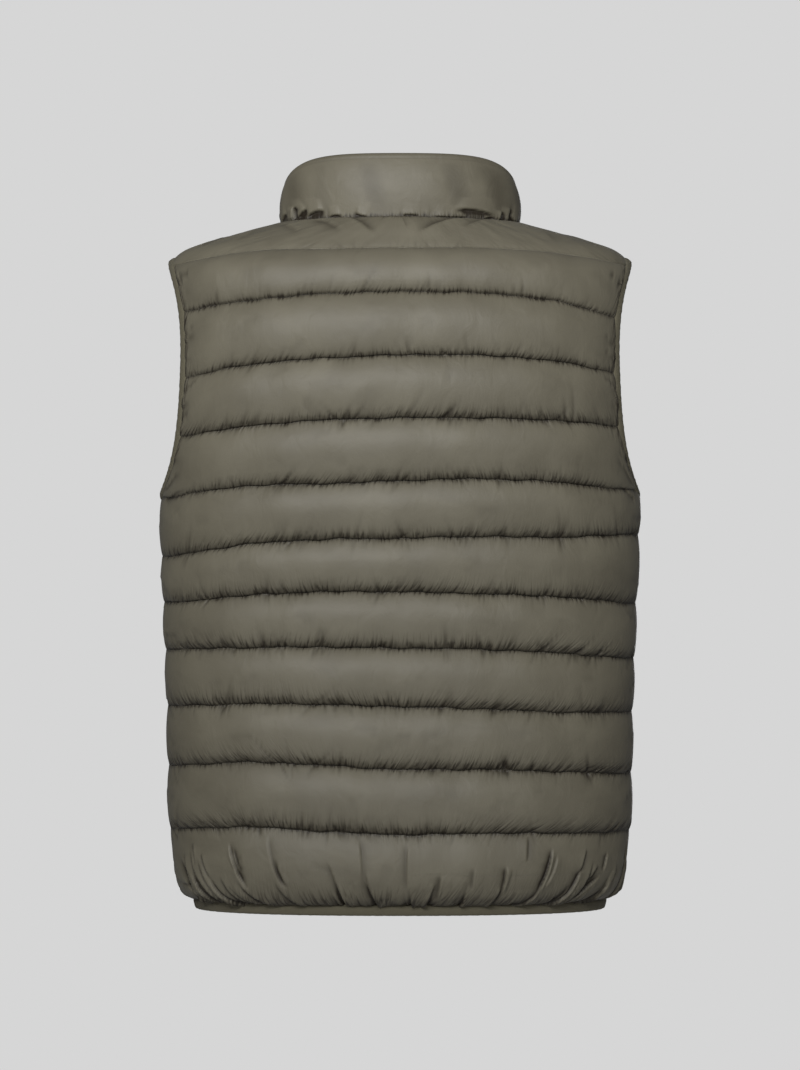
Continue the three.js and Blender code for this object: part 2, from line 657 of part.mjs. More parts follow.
// The pull tab, hanging along -Z from its bar, whose middle is the origin.
function pullGeometry() {
  const { halfWidth, length, bar, eye, arm, thick } = PULL;
  const tab = new THREE.Shape();
  tab.moveTo(-halfWidth, bar);
  tab.lineTo(-halfWidth, -length + halfWidth);
  tab.absarc(0, -length + halfWidth, halfWidth, Math.PI, 2 * Math.PI, false);
  tab.lineTo(halfWidth, bar);
  tab.closePath();
  const hole = new THREE.Path();
  hole.moveTo(-halfWidth + arm, -bar);
  hole.lineTo(halfWidth - arm, -bar);
  hole.lineTo(halfWidth - arm, -eye);
  hole.lineTo(-halfWidth + arm, -eye);
  hole.closePath();
  tab.holes.push(hole);
  const g = new THREE.ExtrudeGeometry(tab, { depth: thick, bevelEnabled: false, curveSegments: 5 });
  return g.translate(0, 0, -thick / 2).rotateX(Math.PI / 2);
}

function solidOf(wasm, geometry) {
  const bare = geometry.clone();
  bare.deleteAttribute("normal");
  bare.deleteAttribute("uv");
  const merged = facingOut(mergeVertices(bare, 1e-4));
  const vertProperties = new Float32Array(merged.attributes.position.array);
  const triVerts = new Uint32Array(merged.index.array);
  return new wasm.Manifold(new wasm.Mesh({ numProp: 3, vertProperties, triVerts }));
}

function joined(wasm, geometries) {
  const whole = geometries.map((g) => solidOf(wasm, g)).reduce((sum, one) => sum.add(one));
  const mesh = whole.getMesh();
  const geometry = new THREE.BufferGeometry();
  geometry.setAttribute("position", new THREE.BufferAttribute(new Float32Array(mesh.vertProperties), 3));
  geometry.setIndex(new THREE.BufferAttribute(new Uint32Array(mesh.triVerts), 1));
  return geometry;
}

// ---- The vest -----------------------------------------------------------------------------------

const wasm = await Module();
wasm.setup();

const vest = new THREE.Group();
const cloth = (color, roughness) => new THREE.MeshStandardMaterial({ color, roughness, metalness: 0 });
const metal = () => new THREE.MeshStandardMaterial({ color: METAL_COLOUR, roughness: 0.35, metalness: 0.9 });

function add(name, geometry, material, parent = vest) {
  const mesh = new THREE.Mesh(geometry, material);
  mesh.name = name;
  parent.add(mesh);
  return mesh;
}

const back = backPanel();
const fronts = { left: frontPanel("farLeft"), right: frontPanel("farRight") };
const yoke = yokePanel(back);

add("back_panel", quiltedWall(back), cloth(CLOTH_COLOUR, 0.5));
for (const [side, place] of [["left", "farLeft"], ["right", "farRight"]]) {
  add("front_" + side, quiltedWall(fronts[side]), cloth(CLOTH_COLOUR, 0.5));
  const edge = armholeBinding(place, back, fronts[side], yoke);
  add("armhole_binding_" + side, edge, cloth(BINDING_COLOUR, 0.7));
}
add("yoke", quiltedWall(yoke), cloth(CLOTH_COLOUR, 0.5));
add("hem_binding", hemBinding(back, fronts), cloth(BINDING_COLOUR, 0.7));

const neckAngles = yoke[0].map((cell) => Math.sign(cell.point.x) * neckAngleOf(cell.point));
const foot = neckFoot(ZIP.chainHalf + ZIP.tapeWidth + 2 * SEAM_GAP);
const bandAngles = range(STEPS.neckBand).map((r) => lerp(foot, SHOULDER_SEAM.neckAngle, r / STEPS.neckBand));
add(
  "collar",
  collarGeometry([...bandAngles.map((a) => -a), ...neckAngles, ...bandAngles.reverse()]),
  cloth(CLOTH_COLOUR, 0.5),
);

const line = zipLine();
for (const [side, sign] of [["left", -1], ["right", 1]]) {
  const near = (ZIP.chainHalf + SEAM_GAP) * sign;
  const far = (ZIP.chainHalf + SEAM_GAP + ZIP.tapeWidth) * sign;
  const strip = zipStrip(line, near, far, -ZIP.tapeSunk, -ZIP.tapeSunk - ZIP.tapeThick);
  add("zip_tape_" + side, strip, cloth(BINDING_COLOUR, 0.8));
}
const seat = sliderSeat();
const chainTop = seat.place.z + SLIDER.length / 2 - SLIDER.post - 7 * SEAM_GAP;
const chainLine = [pointAtHeight(line, chainTop), ...line.filter((p) => p.z < chainTop - 1)];
const chainBack = -ZIP.chainSunk - ZIP.chainThick;
const chain = zipStrip(chainLine, -ZIP.chainHalf, ZIP.chainHalf, -ZIP.chainSunk, chainBack);
add("zip_chain", chain, metal());

const sliderFrame = new THREE.Group();
sliderFrame.position.copy(seat.place);
sliderFrame.rotation.x = seat.lean;
vest.add(sliderFrame);
add("zip_slider", sliderGeometry(wasm), metal(), sliderFrame);
const pull = add("zip_pull", pullGeometry(), metal(), sliderFrame);
pull.position.set(0, PULL.hingeOut, -PULL.hingeDown);

function neckAngleOf(p) {
  const depth = p.y < 0 ? NECK.back : NECK.front;
  return THREE.MathUtils.radToDeg(Math.atan2(Math.abs(p.x) / NECK.halfWidth, -p.y / depth));
}

export default vest;
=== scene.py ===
import math

import bmesh
import bpy
import numpy as np
from bpy.props import FloatProperty, FloatVectorProperty, PointerProperty
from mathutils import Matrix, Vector


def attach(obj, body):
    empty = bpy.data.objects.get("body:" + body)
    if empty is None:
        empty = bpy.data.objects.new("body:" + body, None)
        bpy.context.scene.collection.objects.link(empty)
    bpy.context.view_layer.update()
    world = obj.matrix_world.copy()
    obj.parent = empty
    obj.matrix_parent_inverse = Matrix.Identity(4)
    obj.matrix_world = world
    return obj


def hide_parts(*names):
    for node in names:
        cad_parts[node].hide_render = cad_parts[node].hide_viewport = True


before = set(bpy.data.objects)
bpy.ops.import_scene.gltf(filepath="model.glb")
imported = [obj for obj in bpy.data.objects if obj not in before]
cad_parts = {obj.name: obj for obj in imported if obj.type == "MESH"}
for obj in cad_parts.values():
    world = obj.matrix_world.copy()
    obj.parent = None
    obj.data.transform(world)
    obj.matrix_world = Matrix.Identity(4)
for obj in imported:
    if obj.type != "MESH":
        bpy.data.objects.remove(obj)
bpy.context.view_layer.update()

bl_info = {
    "name": "Quilted Vest",
    "version": (1, 0, 0),
    "blender": (4, 5, 0),
    "location": "View3D > Sidebar > Vest",
    "description": "Builds a sleeveless quilted vest, filled out as when worn",
    "category": "Add Mesh",
}

MM = 0.001


# ---- Colours -------------------------------------------------------------------------------------

def linear(hex_colour):
    """Linear RGB of an sRGB hex value."""
    parts = [int(hex_colour[i:i + 2], 16) / 255 for i in (1, 3, 5)]
    return tuple(c / 12.92 if c <= 0.04045 else ((c + 0.055) / 1.055) ** 2.4 for c in parts)


# ---- Sizes and colours that a user would change --------------------------------------------------

def mm_property(name, description, default, low, high):
    """A length given in millimetres and kept in metres."""
    return FloatProperty(name=name, description=description, default=default * MM, min=low * MM,
                         max=high * MM, unit="LENGTH", precision=5)


def share_property(name, description, default):
    return FloatProperty(name=name, description=description, default=default, min=0, max=1,
                         subtype="FACTOR")


def colour_property(name, description, hex_colour):
    return FloatVectorProperty(name=name, description=description, subtype="COLOR", size=3, min=0, max=1,
                               default=linear(hex_colour))


def quilt_mm(name):
    return getattr(bpy.context.scene.vest_quilt, name) / MM


def piece_mm(name):
    return getattr(bpy.context.scene.vest_pieces, name) / MM


class QuiltSizes(bpy.types.PropertyGroup):
    """The padding and its stitches, in millimetres."""
    puff_out: mm_property("Outer puff", "Crown of a channel above its stitches, outside", 12, 0, 30)
    puff_in: mm_property("Inner puff", "Crown of a channel on the inside", 4.5, 0, 20)
    sag: mm_property("Sag", "How far the padding hangs down over the stitches below it", 3.3, 0, 6)
    seam_wall: mm_property("Seam thickness", "Both fabrics and flat wadding at a seam", 3, 1, 6)
    side_puff: share_property("Side puff", "Share of the puff left at a side seam", 0.1)
    armhole_puff: share_property("Armhole puff", "Share of the puff left beside an armhole", 0.15)
    pucker_depth: mm_property("Pucker depth", "Depth of the puckers along a line of stitches", 1.7, 0, 4)
    gather_depth: mm_property("Gather depth", "Depth of the deepest gathers above the hem", 6.5, 0, 12)
    stitch_pitch: mm_property("Stitch pitch", "Distance from one stitch to the next", 3.4, 1, 10)
    thread: mm_property("Thread", "Thickness of the sewing thread", 0.55, 0.1, 2)


class PieceSizes(bpy.types.PropertyGroup):
    """The other sewn pieces, in millimetres."""
    binding_width: mm_property("Hem binding width", "Width of the hem's elastic binding", 9, 4, 20)
    armhole_width: mm_property("Armhole binding width", "Width of the armholes' elastic bindings", 6.6, 4, 20)
    binding_out: mm_property("Binding outside", "How far a binding stands above the outer face", 2.6, 0, 6)
    binding_in: mm_property("Binding inside", "How far a binding stands above the inner face", 2.4, 0, 6)
    collar_wall: mm_property("Collar thickness", "Thickness of the padded collar", 10, 4, 20)
    tooth_pitch: mm_property("Coil pitch", "Distance from one coil of the zip to the next", 1.5, 0.5, 4)
    yoke_puff: mm_property("Yoke puff", "Crown of the plain yoke above its seams", 3.2, 0, 12)


class VestColours(bpy.types.PropertyGroup):
    """The colours of the vest's fabrics and trims."""
    shell: colour_property("Shell", "Satin nylon of the quilted panels", "#767161")
    shell_dark: colour_property("Shell, darker", "Darker tone in the same nylon", "#6b6657")
    # Painted shade: the nylon as dark as it looks in the shadow of a fold, mixed into its colour in creases
    # and beside seams.
    shell_painted_fold_shade: colour_property("Shell, in folds", "The same nylon deep in a fold", "#21190d")
    binding: colour_property("Binding", "Matte elastic binding", "#6c6755")
    thread: colour_property("Thread", "Sewing thread", "#4b473c")
    tape: colour_property("Zip tape", "Woven tape of the zip", "#4e4a3f")
    coil: colour_property("Zip coil", "Nylon coils of the zip", "#3c3930")
    metal: colour_property("Zip metal", "Painted slider and pull", "#4a4740")
    floor: colour_property("Floor", "Studio floor and backdrop", "#dcdcdc")


# ---- The torso's sections, the lines of stitches and the openings --------------------------------

def table(columns, rows):
    """Rows of numbers as one array for each named column."""
    return {name: np.array([row[i] for row in rows], float) for i, name in enumerate(columns.split())}


def named_rows(columns, rows):
    """Rows of numbers as one dictionary each, with the columns' names."""
    return [dict(zip(columns.split(), row)) for row in rows]


HEM_Z = -680.0

# Outer fabric at its stitches: half width along X, depths along -Y and +Y, and the superellipse's power.
SECTIONS = table("z half_width back front round", [
    (-695, 188, 96, 98, 2.3),
    (-680, 203, 106, 108, 2.3),
    (-672, 215.5, 113, 115, 2.3),
    (-652, 221.5, 118, 120, 2.3),
    (-628, 225.5, 121, 122, 2.3),
    (-608, 229, 122, 123, 2.3),
    (-545, 230.5, 120, 125, 2.3),
    (-484, 231.5, 118, 126, 2.3),
    (-427, 233.5, 117, 127, 2.3),
    (-372, 235.5, 118, 127, 2.3),
    (-320, 237.5, 121, 126, 2.3),
    (-264, 238, 125, 124, 2.3),
    (-203, 238.5, 128, 120, 2.3),
    (-142, 237, 127, 114, 2.3),
    (-95, 236, 122, 107, 2.3),
    (-65, 234.5, 115, 100, 2.3),
    (-50, 231.5, 109, 95, 2.28),
    (-42, 226, 104, 90, 2.2),
    (-34, 213, 98, 84, 2.15),
    (-26, 186, 91, 79, 2.1),
    (-18, 158, 85, 74, 2.05),
    (-10, 132, 78, 69, 2),
    (-2, 111, 70, 63, 2),
    (6, 90, 62, 56, 2),
])

# Height of each line of stitches on the back at seven places across it. The first is the yoke seam.
QUILT_X = np.array([-225.0, -150.0, -75.0, 0.0, 75.0, 150.0, 225.0])
QUILT_LINES = np.array([
    (-49, -38, -37, -36, -36, -39, -49),
    (-98, -88, -82, -80, -81, -88, -106),
    (-165, -151, -145, -142, -142, -147, -160),
    (-221, -211, -205, -203, -203, -205, -211),
    (-279, -269, -267, -264, -262, -265, -273),
    (-338, -326, -321, -320, -318, -319, -316),
    (-384, -376, -372, -372, -374, -377, -384),
    (-430, -427, -426, -427, -428, -432, -439),
    (-486, -482, -482, -484, -486, -490, -492),
    (-545, -539, -541, -545, -545, -548, -553),
    (-608, -602, -605, -608, -607, -608, -610),
    (HEM_Z,) * 7,
], float)
CHANNELS = len(QUILT_LINES) - 1
BOTTOM_CHANNEL = CHANNELS - 1
ARMHOLE_LINE = 4

SEAM_GAP = 0.3
SEWN_GAP = 0.03  # so that no light shows through the side seams or beside the zip
BINDING_WIDTH = 9.0
ARMHOLE = {"z": -161.0, "half_height": 110.0, "half_depth": 58.0, "round": 2.5}
ARMHOLE_GROW = BINDING_WIDTH + SEAM_GAP  # the cloth ends outside the binding
ARMHOLE_BOTTOM = ARMHOLE["z"] - ARMHOLE["half_height"] - ARMHOLE_GROW
SHOULDER_SEAM = {"neck_angle": 116.0, "armhole_y": 34.0}
YOKE_BACK_ANGLE = 64.0
FRONT_EDGE = 8.0
LEFT, RIGHT = -1, 1
SIDE_NAMES = {LEFT: "left", RIGHT: "right"}

NORMAL_STEP = 0.5
SHOULDER_LOW = -120.0  # below any point of the shoulders
HALVINGS = 40


def unit(vectors):
    """The same directions, at a length of one."""
    return vectors / np.linalg.norm(vectors, axis=-1, keepdims=True)


def run_along(points):
    """Distance along each line of points, from its first."""
    steps = np.linalg.norm(np.diff(points, axis=0), axis=-1)
    return np.concatenate([np.zeros((1, *steps.shape[1:])), np.cumsum(steps, axis=0)])


def through(rows, column, at, place="z"):
    """Smooth value of one column at places in another, through every row."""
    x, y = rows[place], rows[column]
    slope = np.gradient(y)
    slope[1:-1] = (y[2:] - y[:-2]) / (x[2:] - x[:-2])
    slope[0] = (y[1] - y[0]) / (x[1] - x[0])
    slope[-1] = (y[-1] - y[-2]) / (x[-1] - x[-2])
    at = np.clip(at, x[0], x[-1])
    i = np.clip(np.searchsorted(x, at, side="left") - 1, 0, len(x) - 2)
    span = x[i + 1] - x[i]
    t = (at - x[i]) / span
    bend = t * (1 - t)
    line = (y[i + 1] - y[i]) / span
    start = (slope[i] - line) * span * bend * (1 - t)
    end = (slope[i + 1] - line) * span * bend * t
    return y[i] + (y[i + 1] - y[i]) * t + start - end


def section(z):
    return [through(SECTIONS, name, z) for name in ("half_width", "back", "front", "round")]


def outside(points):
    """How far points are outside the torso: 0 on the outer fabric."""
    half_width, back, front, power = section(points[..., 2])
    depth = np.where(points[..., 1] < 0, back, front)
    return np.abs(points[..., 0] / half_width) ** power + np.abs(points[..., 1] / depth) ** power - 1


def normals_at(points):
    out = np.empty_like(points)
    for axis, move in enumerate(np.eye(3) * NORMAL_STEP):
        out[..., axis] = outside(points + move) - outside(points - move)
    return unit(out)


def on_torso(turn, z):
    """Points at a height, at an angle round the torso: 0 at the middle of the back, a right angle on +X."""
    half_width, back, front, power = section(z)
    sine, cosine = np.sin(turn), np.cos(turn)
    depth = np.where(cosine > 0, back, front)
    x = half_width * np.sign(sine) * np.abs(sine) ** (2 / power)
    y = -depth * np.sign(cosine) * np.abs(cosine) ** (2 / power)
    return np.stack(np.broadcast_arrays(x, y, z), axis=-1)


def turn_of(points):
    half_width, back, front, power = section(points[..., 2])
    depth = np.where(points[..., 1] < 0, back, front)
    across = np.sign(points[..., 0]) * np.abs(points[..., 0] / half_width) ** (power / 2)
    along = -np.sign(points[..., 1]) * np.abs(points[..., 1] / depth) ** (power / 2)
    return np.arctan2(across, along)


def shoulder_z(x, y):
    """Height of the shoulders over points of the plan."""
    x, y = np.broadcast_arrays(np.asarray(x, float), np.asarray(y, float))
    low = np.full(x.shape, SHOULDER_LOW)
    high = np.full(x.shape, SECTIONS["z"][-1])
    for _ in range(HALVINGS):
        middle = (low + high) / 2
        above = outside(np.stack([x, y, middle], axis=-1)) > 0
        high = np.where(above, middle, high)
        low = np.where(above, low, middle)
    return low


def over_shoulder(start, end, share):
    """Points on the shoulders, at a share of the way between two places in plan."""
    x = start[..., 0] + (end[..., 0] - start[..., 0]) * share
    y = start[..., 1] + (end[..., 1] - start[..., 1]) * share
    return np.stack([x, y, shoulder_z(x, y)], axis=-1)


def armhole_depth(z):
    """Half depth of the armhole's edge in the cloth at a height."""
    rise = np.abs(z - ARMHOLE["z"]) / (ARMHOLE["half_height"] + ARMHOLE_GROW)
    inside = np.clip(1 - rise ** ARMHOLE["round"], 0, 1)
    return (ARMHOLE["half_depth"] + ARMHOLE_GROW) * inside ** (1 / ARMHOLE["round"])


def armhole_top(y):
    """Height of the armhole's edge in the cloth at a depth, above its middle."""
    share = np.abs(y) / (ARMHOLE["half_depth"] + ARMHOLE_GROW)
    rise = np.clip(1 - share ** ARMHOLE["round"], 0, 1) ** (1 / ARMHOLE["round"])
    return ARMHOLE["z"] + (ARMHOLE["half_height"] + ARMHOLE_GROW) * rise


def at_depth(y, z, side):
    """Points of the torso's side at given depths and heights."""
    half_width, back, front, power = section(z)
    depth = np.where(np.asarray(y) < 0, back, front)
    x = half_width * np.clip(1 - np.abs(y / depth) ** power, 0, 1) ** (1 / power)
    return np.stack(np.broadcast_arrays(side * x, y, z), axis=-1)


def smooth(t):
    t = np.clip(t, 0, 1)
    return t * t * (3 - 2 * t)


def wobble(seed, at, waves, size):
    """A gentle, repeatable unevenness along a length, from a few waves of the given lengths."""
    rng = np.random.default_rng(seed)
    total = np.zeros_like(np.asarray(at, float))
    for wave in waves:
        total += np.sin(2 * np.pi * np.asarray(at) / wave + rng.uniform(0, 2 * np.pi))
    return size * total / math.sqrt(len(waves))


def line_z(line, x):
    """Height of a line of stitches across the back, with the small waver of real sewing."""
    rows = {"x": QUILT_X, "z": QUILT_LINES[line]}
    z = through(rows, "z", x, place="x")
    if 0 < line < CHANNELS:
        z = z + wobble(line * 7 + 1, x, (31, 47, 83), 0.55)
    return z


def row_z(channel, share, x):
    """Height of a row across the back, at a share of a channel's height."""
    return line_z(channel, x) * (1 - share) + line_z(channel + 1, x) * share


def side_z(channel, share, side):
    """The same at a side, where one line of stitches meets the armhole's lowest point."""
    ends = QUILT_LINES[:, 0 if side == LEFT else -1].copy()
    ends[ARMHOLE_LINE] = ARMHOLE_BOTTOM
    return ends[channel] * (1 - share) + ends[channel + 1] * share


NECK = {"half_width": 119.0, "back": 71.0, "front": float(through(SECTIONS, "front", QUILT_LINES[1][3]))}


def neck_point(angle):
    """The neckline at angles in degrees, 0 at the middle of the back."""
    turn = np.radians(angle)
    x = NECK["half_width"] * np.sin(turn)
    y = -np.cos(turn) * np.where(np.cos(turn) > 0, NECK["back"], NECK["front"])
    return np.stack(np.broadcast_arrays(x, y, shoulder_z(x, y)), axis=-1)


NECK_FOOT = 180 - math.degrees(math.asin(FRONT_EDGE / NECK["half_width"]))


# ---- Meshes --------------------------------------------------------------------------------------

def in_scene(name, data):
    """A new object in the scene."""
    made = bpy.data.objects.new(name, data)
    bpy.context.scene.collection.objects.link(made)
    return made


def new_piece(name, mesh, body="garment"):
    piece = in_scene(name, mesh)
    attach(piece, body)
    return piece


def closed_piece(name, points_mm, faces, material, uv_mm, marks=None):
    """A closed mesh that faces outwards, from points in millimetres, with a UV map in metres of cloth and
    named values at its points."""
    mesh = bpy.data.meshes.new(name)
    points = points_mm.reshape(-1, 3) * MM
    mesh.from_pydata(points.tolist(), [], [list(map(int, f)) for f in faces])
    layer = mesh.uv_layers.new(name="UVMap")
    loops = np.empty(len(mesh.loops), np.int32)
    mesh.loops.foreach_get("vertex_index", loops)
    uv = uv_mm.reshape(-1, 2)[loops] * MM
    layer.data.foreach_set("uv", uv.astype(np.float32).ravel())
    for key, values in (marks or {}).items():
        attribute = mesh.attributes.new(key, "FLOAT", "POINT")
        attribute.data.foreach_set("value", values.astype(np.float32).ravel())
    mesh.polygons.foreach_set("use_smooth", np.ones(len(mesh.polygons), bool))
    mesh.materials.append(material)
    mesh.validate()
    mesh.update()
    shape = bmesh.new()
    shape.from_mesh(mesh)
    bmesh.ops.recalc_face_normals(shape, faces=shape.faces)
    shape.to_mesh(mesh)
    shape.free()
    return new_piece(name, mesh)


def grid_faces(ids):
    """Quads of a grid of points, given by their numbers."""
    corners = [ids[:-1, :-1], ids[:-1, 1:], ids[1:, 1:], ids[1:, :-1]]
    return np.stack(corners, axis=-1).reshape(-1, 4)


def lace(first, second, first_at, second_at):
    """Triangles that join two lines of points whose counts differ, matched by their places along it."""
    faces = []
    i = j = 0
    while i < len(first) - 1 or j < len(second) - 1:
        step_first = j == len(second) - 1 or (i < len(first) - 1 and first_at[i + 1] <= second_at[j + 1])
        if step_first:
            faces.append((first[i], first[i + 1], second[j]))
            i += 1
        else:
            faces.append((first[i], second[j + 1], second[j]))
            j += 1
    return faces


def closed_wall(name, outer, inner, kept_rows, material, uv, marks):
    """A closed wall: a fine outer grid, and an inner one that keeps only some of its rows and columns."""
    rows, columns = outer.shape[:2]
    kept_columns = np.unique(np.round(np.linspace(0, columns - 1, columns // 3)).astype(int))
    kept = np.ix_(kept_rows, kept_columns)
    outer_ids = np.arange(rows * columns).reshape(rows, columns)
    inner_ids = np.arange(kept[0].size * kept[1].size).reshape(kept[0].size, -1) + rows * columns
    faces = grid_faces(outer_ids)[:, ::-1].tolist() + grid_faces(inner_ids).tolist()
    for line in (0, -1):
        faces += lace(outer_ids[line], inner_ids[line], np.arange(columns), kept_columns)
        faces += lace(outer_ids[:, line], inner_ids[:, line], np.arange(rows), kept_rows)
    points = np.concatenate([outer.reshape(-1, 3), inner[kept].reshape(-1, 3)])
    uv_all = np.concatenate([uv.reshape(-1, 2), uv[kept].reshape(-1, 2)])
    all_marks = {k: np.concatenate([v.reshape(-1), v[kept].reshape(-1)]) for k, v in marks.items()}
    return closed_piece(name, points, faces, material, uv_all, all_marks)


def strip(name, lines, material, closed):
    """A solid whose cross-section is a closed round of points, one line of points for each."""
    sides, stops = lines.shape[:2]
    ring = lines.transpose(1, 0, 2)
    ids = np.arange(stops * sides).reshape(stops, sides)
    grid = np.concatenate([ids, ids[:, :1]], axis=1)
    if closed:
        grid = np.concatenate([grid, grid[:1]])
    faces = grid_faces(grid).tolist()
    if not closed:
        faces += [tuple(ids[0][::-1]), tuple(ids[-1])]
    uv = np.stack(np.meshgrid(run_along(ring[:, 0]), run_along(ring[0]), indexing="ij"), axis=-1)
    return closed_piece(name, ring, faces, material, uv)


# ---- Puckers, creases and gathers ----------------------------------------------------------------

def scatter(seed, start, end, spacing):
    """Uneven places along a length."""
    rng = np.random.default_rng(seed)
    steps = rng.uniform(spacing[0], spacing[1], int((end - start) / spacing[0]) + 2)
    places = start + np.cumsum(steps)
    return places[places < end], rng


def gather(field, along, down, start, end, bow, depth, width, open_end, rng, late=0.5):
    """A sharp gather, with up to two finer creases that run beside it."""
    crease(field, along, down, start, end, bow, depth, width, open_end, late)
    for _ in range(rng.integers(0, 3)):
        shift = rng.choice((-1, 1)) * rng.uniform(3.0, 9.0)
        cut = np.sort(rng.uniform(0.05, 1.0, 2))
        low = np.add(start, np.subtract(end, start) * cut[0]) + (shift, 0)
        high = np.add(start, np.subtract(end, start) * cut[1]) + (shift * rng.uniform(0.3, 1.2), 0)
        if cut[1] - cut[0] > 0.15:
            crease(field, along, down, low, high, bow * rng.uniform(0.3, 1), depth * rng.uniform(0.2, 0.4),
                   width * rng.uniform(0.65, 0.85), open_end and cut[1] > 0.9, late)


def crease(field, along, down, start, end, bow, depth, width, open_end=False, late=0.0, side=0):
    """Adds one crease to a field of heights: a sharp step from start to end, with a valley below it.

    along and down are the cloth's own millimetres. An open end runs out into a seam at full depth. late is
    the share of the depth that is gained only towards the end, and side says which side stands up.
    """
    span = np.subtract(end, start)
    length = np.hypot(*span)
    heading = span / length
    reach = 4.5 * width + abs(bow)
    low, high = np.minimum(start, end) - reach, np.maximum(start, end) + reach
    near = (along > low[0]) & (along < high[0]) & (down > low[1]) & (down < high[1])
    if not near.any():
        return
    across, lower = along[near] - start[0], down[near] - start[1]
    share = (across * heading[0] + lower * heading[1]) / length
    inside = np.clip(share, 0, 1)
    off = across * heading[1] - lower * heading[0] - bow * 4 * inside * (1 - inside)
    ease = smooth((share + 0.04) / 0.3)
    ease = ease if open_end else ease * smooth((1.04 - share) / 0.3)
    ease *= 1 - late + late * smooth((share - 0.25) / 0.65)
    # The cloth stands up in a lip on one side and tucks under it on the other.
    off = off * (side or (1 if math.sin(1.7 * start[0]) > -0.2 else -1))
    above = 0.5 + 0.5 * np.tanh(off / (0.42 * width))
    lip = 0.55 * np.exp(-np.abs(off) / (2.6 * width))
    tuck = 0.95 * np.exp(-np.abs(off) / (1.5 * width))
    field[near] += depth * ease * (lip * above - tuck * (1 - above))


# ---- Quilted panels ------------------------------------------------------------------------------

ROW_STEP, BOTTOM_ROW_STEP = 3.15, 1.5
INNER_ROWS_EACH = 6
BACK_COLUMNS, FRONT_COLUMNS = 560, 232
# How much closer together a channel's rows are beside its stitches.
CLOSER, BOTTOM_CLOSER = 0.62, 0.2


def warp(even, closer=CLOSER):
    """Shares of a height that lie closer together at its ends."""
    return even - closer * np.sin(2 * np.pi * even) / (2 * np.pi)


def channel_rows(first):
    """Channel and share of its height for every row of a panel, closer together beside the stitches."""
    channels, shares = [], []
    for channel in range(first, CHANNELS):
        height = line_z(channel, 0.0) - line_z(channel + 1, 0.0)
        step, closer = ROW_STEP, CLOSER
        if channel == BOTTOM_CHANNEL:
            step, closer = BOTTOM_ROW_STEP, BOTTOM_CLOSER
        count = int(round(height / step))
        shares += list(warp(np.arange(count) / count, closer))
        channels += [channel] * count
    return np.array(channels + [BOTTOM_CHANNEL]), np.array(shares + [1.0])


def inner_rows(channels):
    """The rows that the inner face keeps: a few in each channel, always with its first and last."""
    kept = []
    for channel in np.unique(channels):
        rows = np.nonzero(channels == channel)[0]
        kept += list(rows[np.round(np.linspace(0, len(rows), INNER_ROWS_EACH + 1)[:-1]).astype(int)])
    return np.array(sorted(set(kept + [len(channels) - 1])))


REFERENCE_Z = -350.0
REFERENCE_TURNS = np.linspace(-math.pi, math.pi, 2881)


def reference_arc():
    run = run_along(on_torso(REFERENCE_TURNS, np.full_like(REFERENCE_TURNS, REFERENCE_Z)))
    return run - run[len(run) // 2]


REFERENCE_ARC = reference_arc()
HALF_BACK = float(np.interp(math.pi / 2, REFERENCE_TURNS, REFERENCE_ARC))


def arc_of(turn):
    """Millimetres round the torso from the middle of the back, at a reference height."""
    return np.interp(turn, REFERENCE_TURNS, REFERENCE_ARC)


def turn_at(arc):
    return np.interp(arc, REFERENCE_ARC, REFERENCE_TURNS)


def arc_at(x):
    """Millimetres round the torso to a place x across the back, at the same height."""
    half_width, back, _, power = section(REFERENCE_Z)
    y = -back * (1 - min(abs(x) / half_width, 1) ** power) ** (1 / power)
    return float(arc_of(turn_of(np.array([float(x), y, REFERENCE_Z]))))


# Powers of the padding's rounded profile: the lower the power, the fuller it is. The bottom channel is drawn
# in at the hem and leans down.
CROWN_TOP, CROWN_FOOT, BOTTOM_CROWN_FOOT = 0.78, 0.56, 0.85
BOTTOM_LEAN = 1.12
SIDE_FADE_POWER = 3.4
HEM_CORNER_PUFF = 0.12


def crown(share, channel):
    """Cross-section of the padding between two lines of stitches: full, and fullest below its middle."""
    bottom = channel == BOTTOM_CHANNEL
    share = np.clip(share, 0, 1) ** np.where(bottom, BOTTOM_LEAN, 1.0)
    at_foot = np.where(bottom, BOTTOM_CROWN_FOOT, CROWN_FOOT)
    fullness = CROWN_TOP + (at_foot - CROWN_TOP) * smooth((share - 0.45) / 0.4)
    return np.clip(4 * share * (1 - share), 0, 1) ** fullness


def sag(height, share):
    """How far the cloth hangs down over the stitches below it, and hugs those above it."""
    full = np.clip(height / quilt_mm("puff_out"), 0, 1.2) ** 0.7
    return quilt_mm("sag") * full * (smooth((share - 0.4) / 0.45) - 0.3 * smooth((0.3 - share) / 0.3))


def side_fade(arc_share, z, channel, share):
    """Share of the puff that is left towards the side seam and the armhole."""
    sizes = bpy.context.scene.vest_quilt
    at_side = np.where(z > ARMHOLE_BOTTOM - 1, sizes.armhole_puff, sizes.side_puff)
    low = np.where(channel == BOTTOM_CHANNEL, smooth((share - 0.35) / 0.5), 0)
    at_side = at_side + (HEM_CORNER_PUFF - at_side) * low
    return 1 + (at_side - 1) * np.abs(arc_share) ** SIDE_FADE_POWER


# How the puckers above each line lean: towards the side where positive, towards the middle where negative.
LINE_LEAN = (0, -0.1, -0.3, -0.5, -0.5, -0.4, 0.2, 0.5, 0.8, 1.0, 1.1, 0.4)
# How strongly each line is puckered, and how far the painted shade above it reaches: the cloth lies smoother
# beside the upper ones.
LINE_STRENGTH = (1, 0.42, 0.62, 0.9, 0.9, 0.95, 1.05, 1.1, 1.15, 1.15, 1.15, 1.1)
# Millimetres over which the crinkles and the painted seam shade die out: below a line of stitches, above it,
# and above the hem.
CRINKLES_AND_SHADE_BELOW, CRINKLES_AND_SHADE_ABOVE, CRINKLES_AND_SHADE_AT_HEM = 3.0, 8.5, 16
BELOW_LINE = 0.6  # puckers below a line are this much shorter, and lean less
PUCKERS_AT_SIDE = 0.25  # share of the puckers' depth that is left where the padding runs out


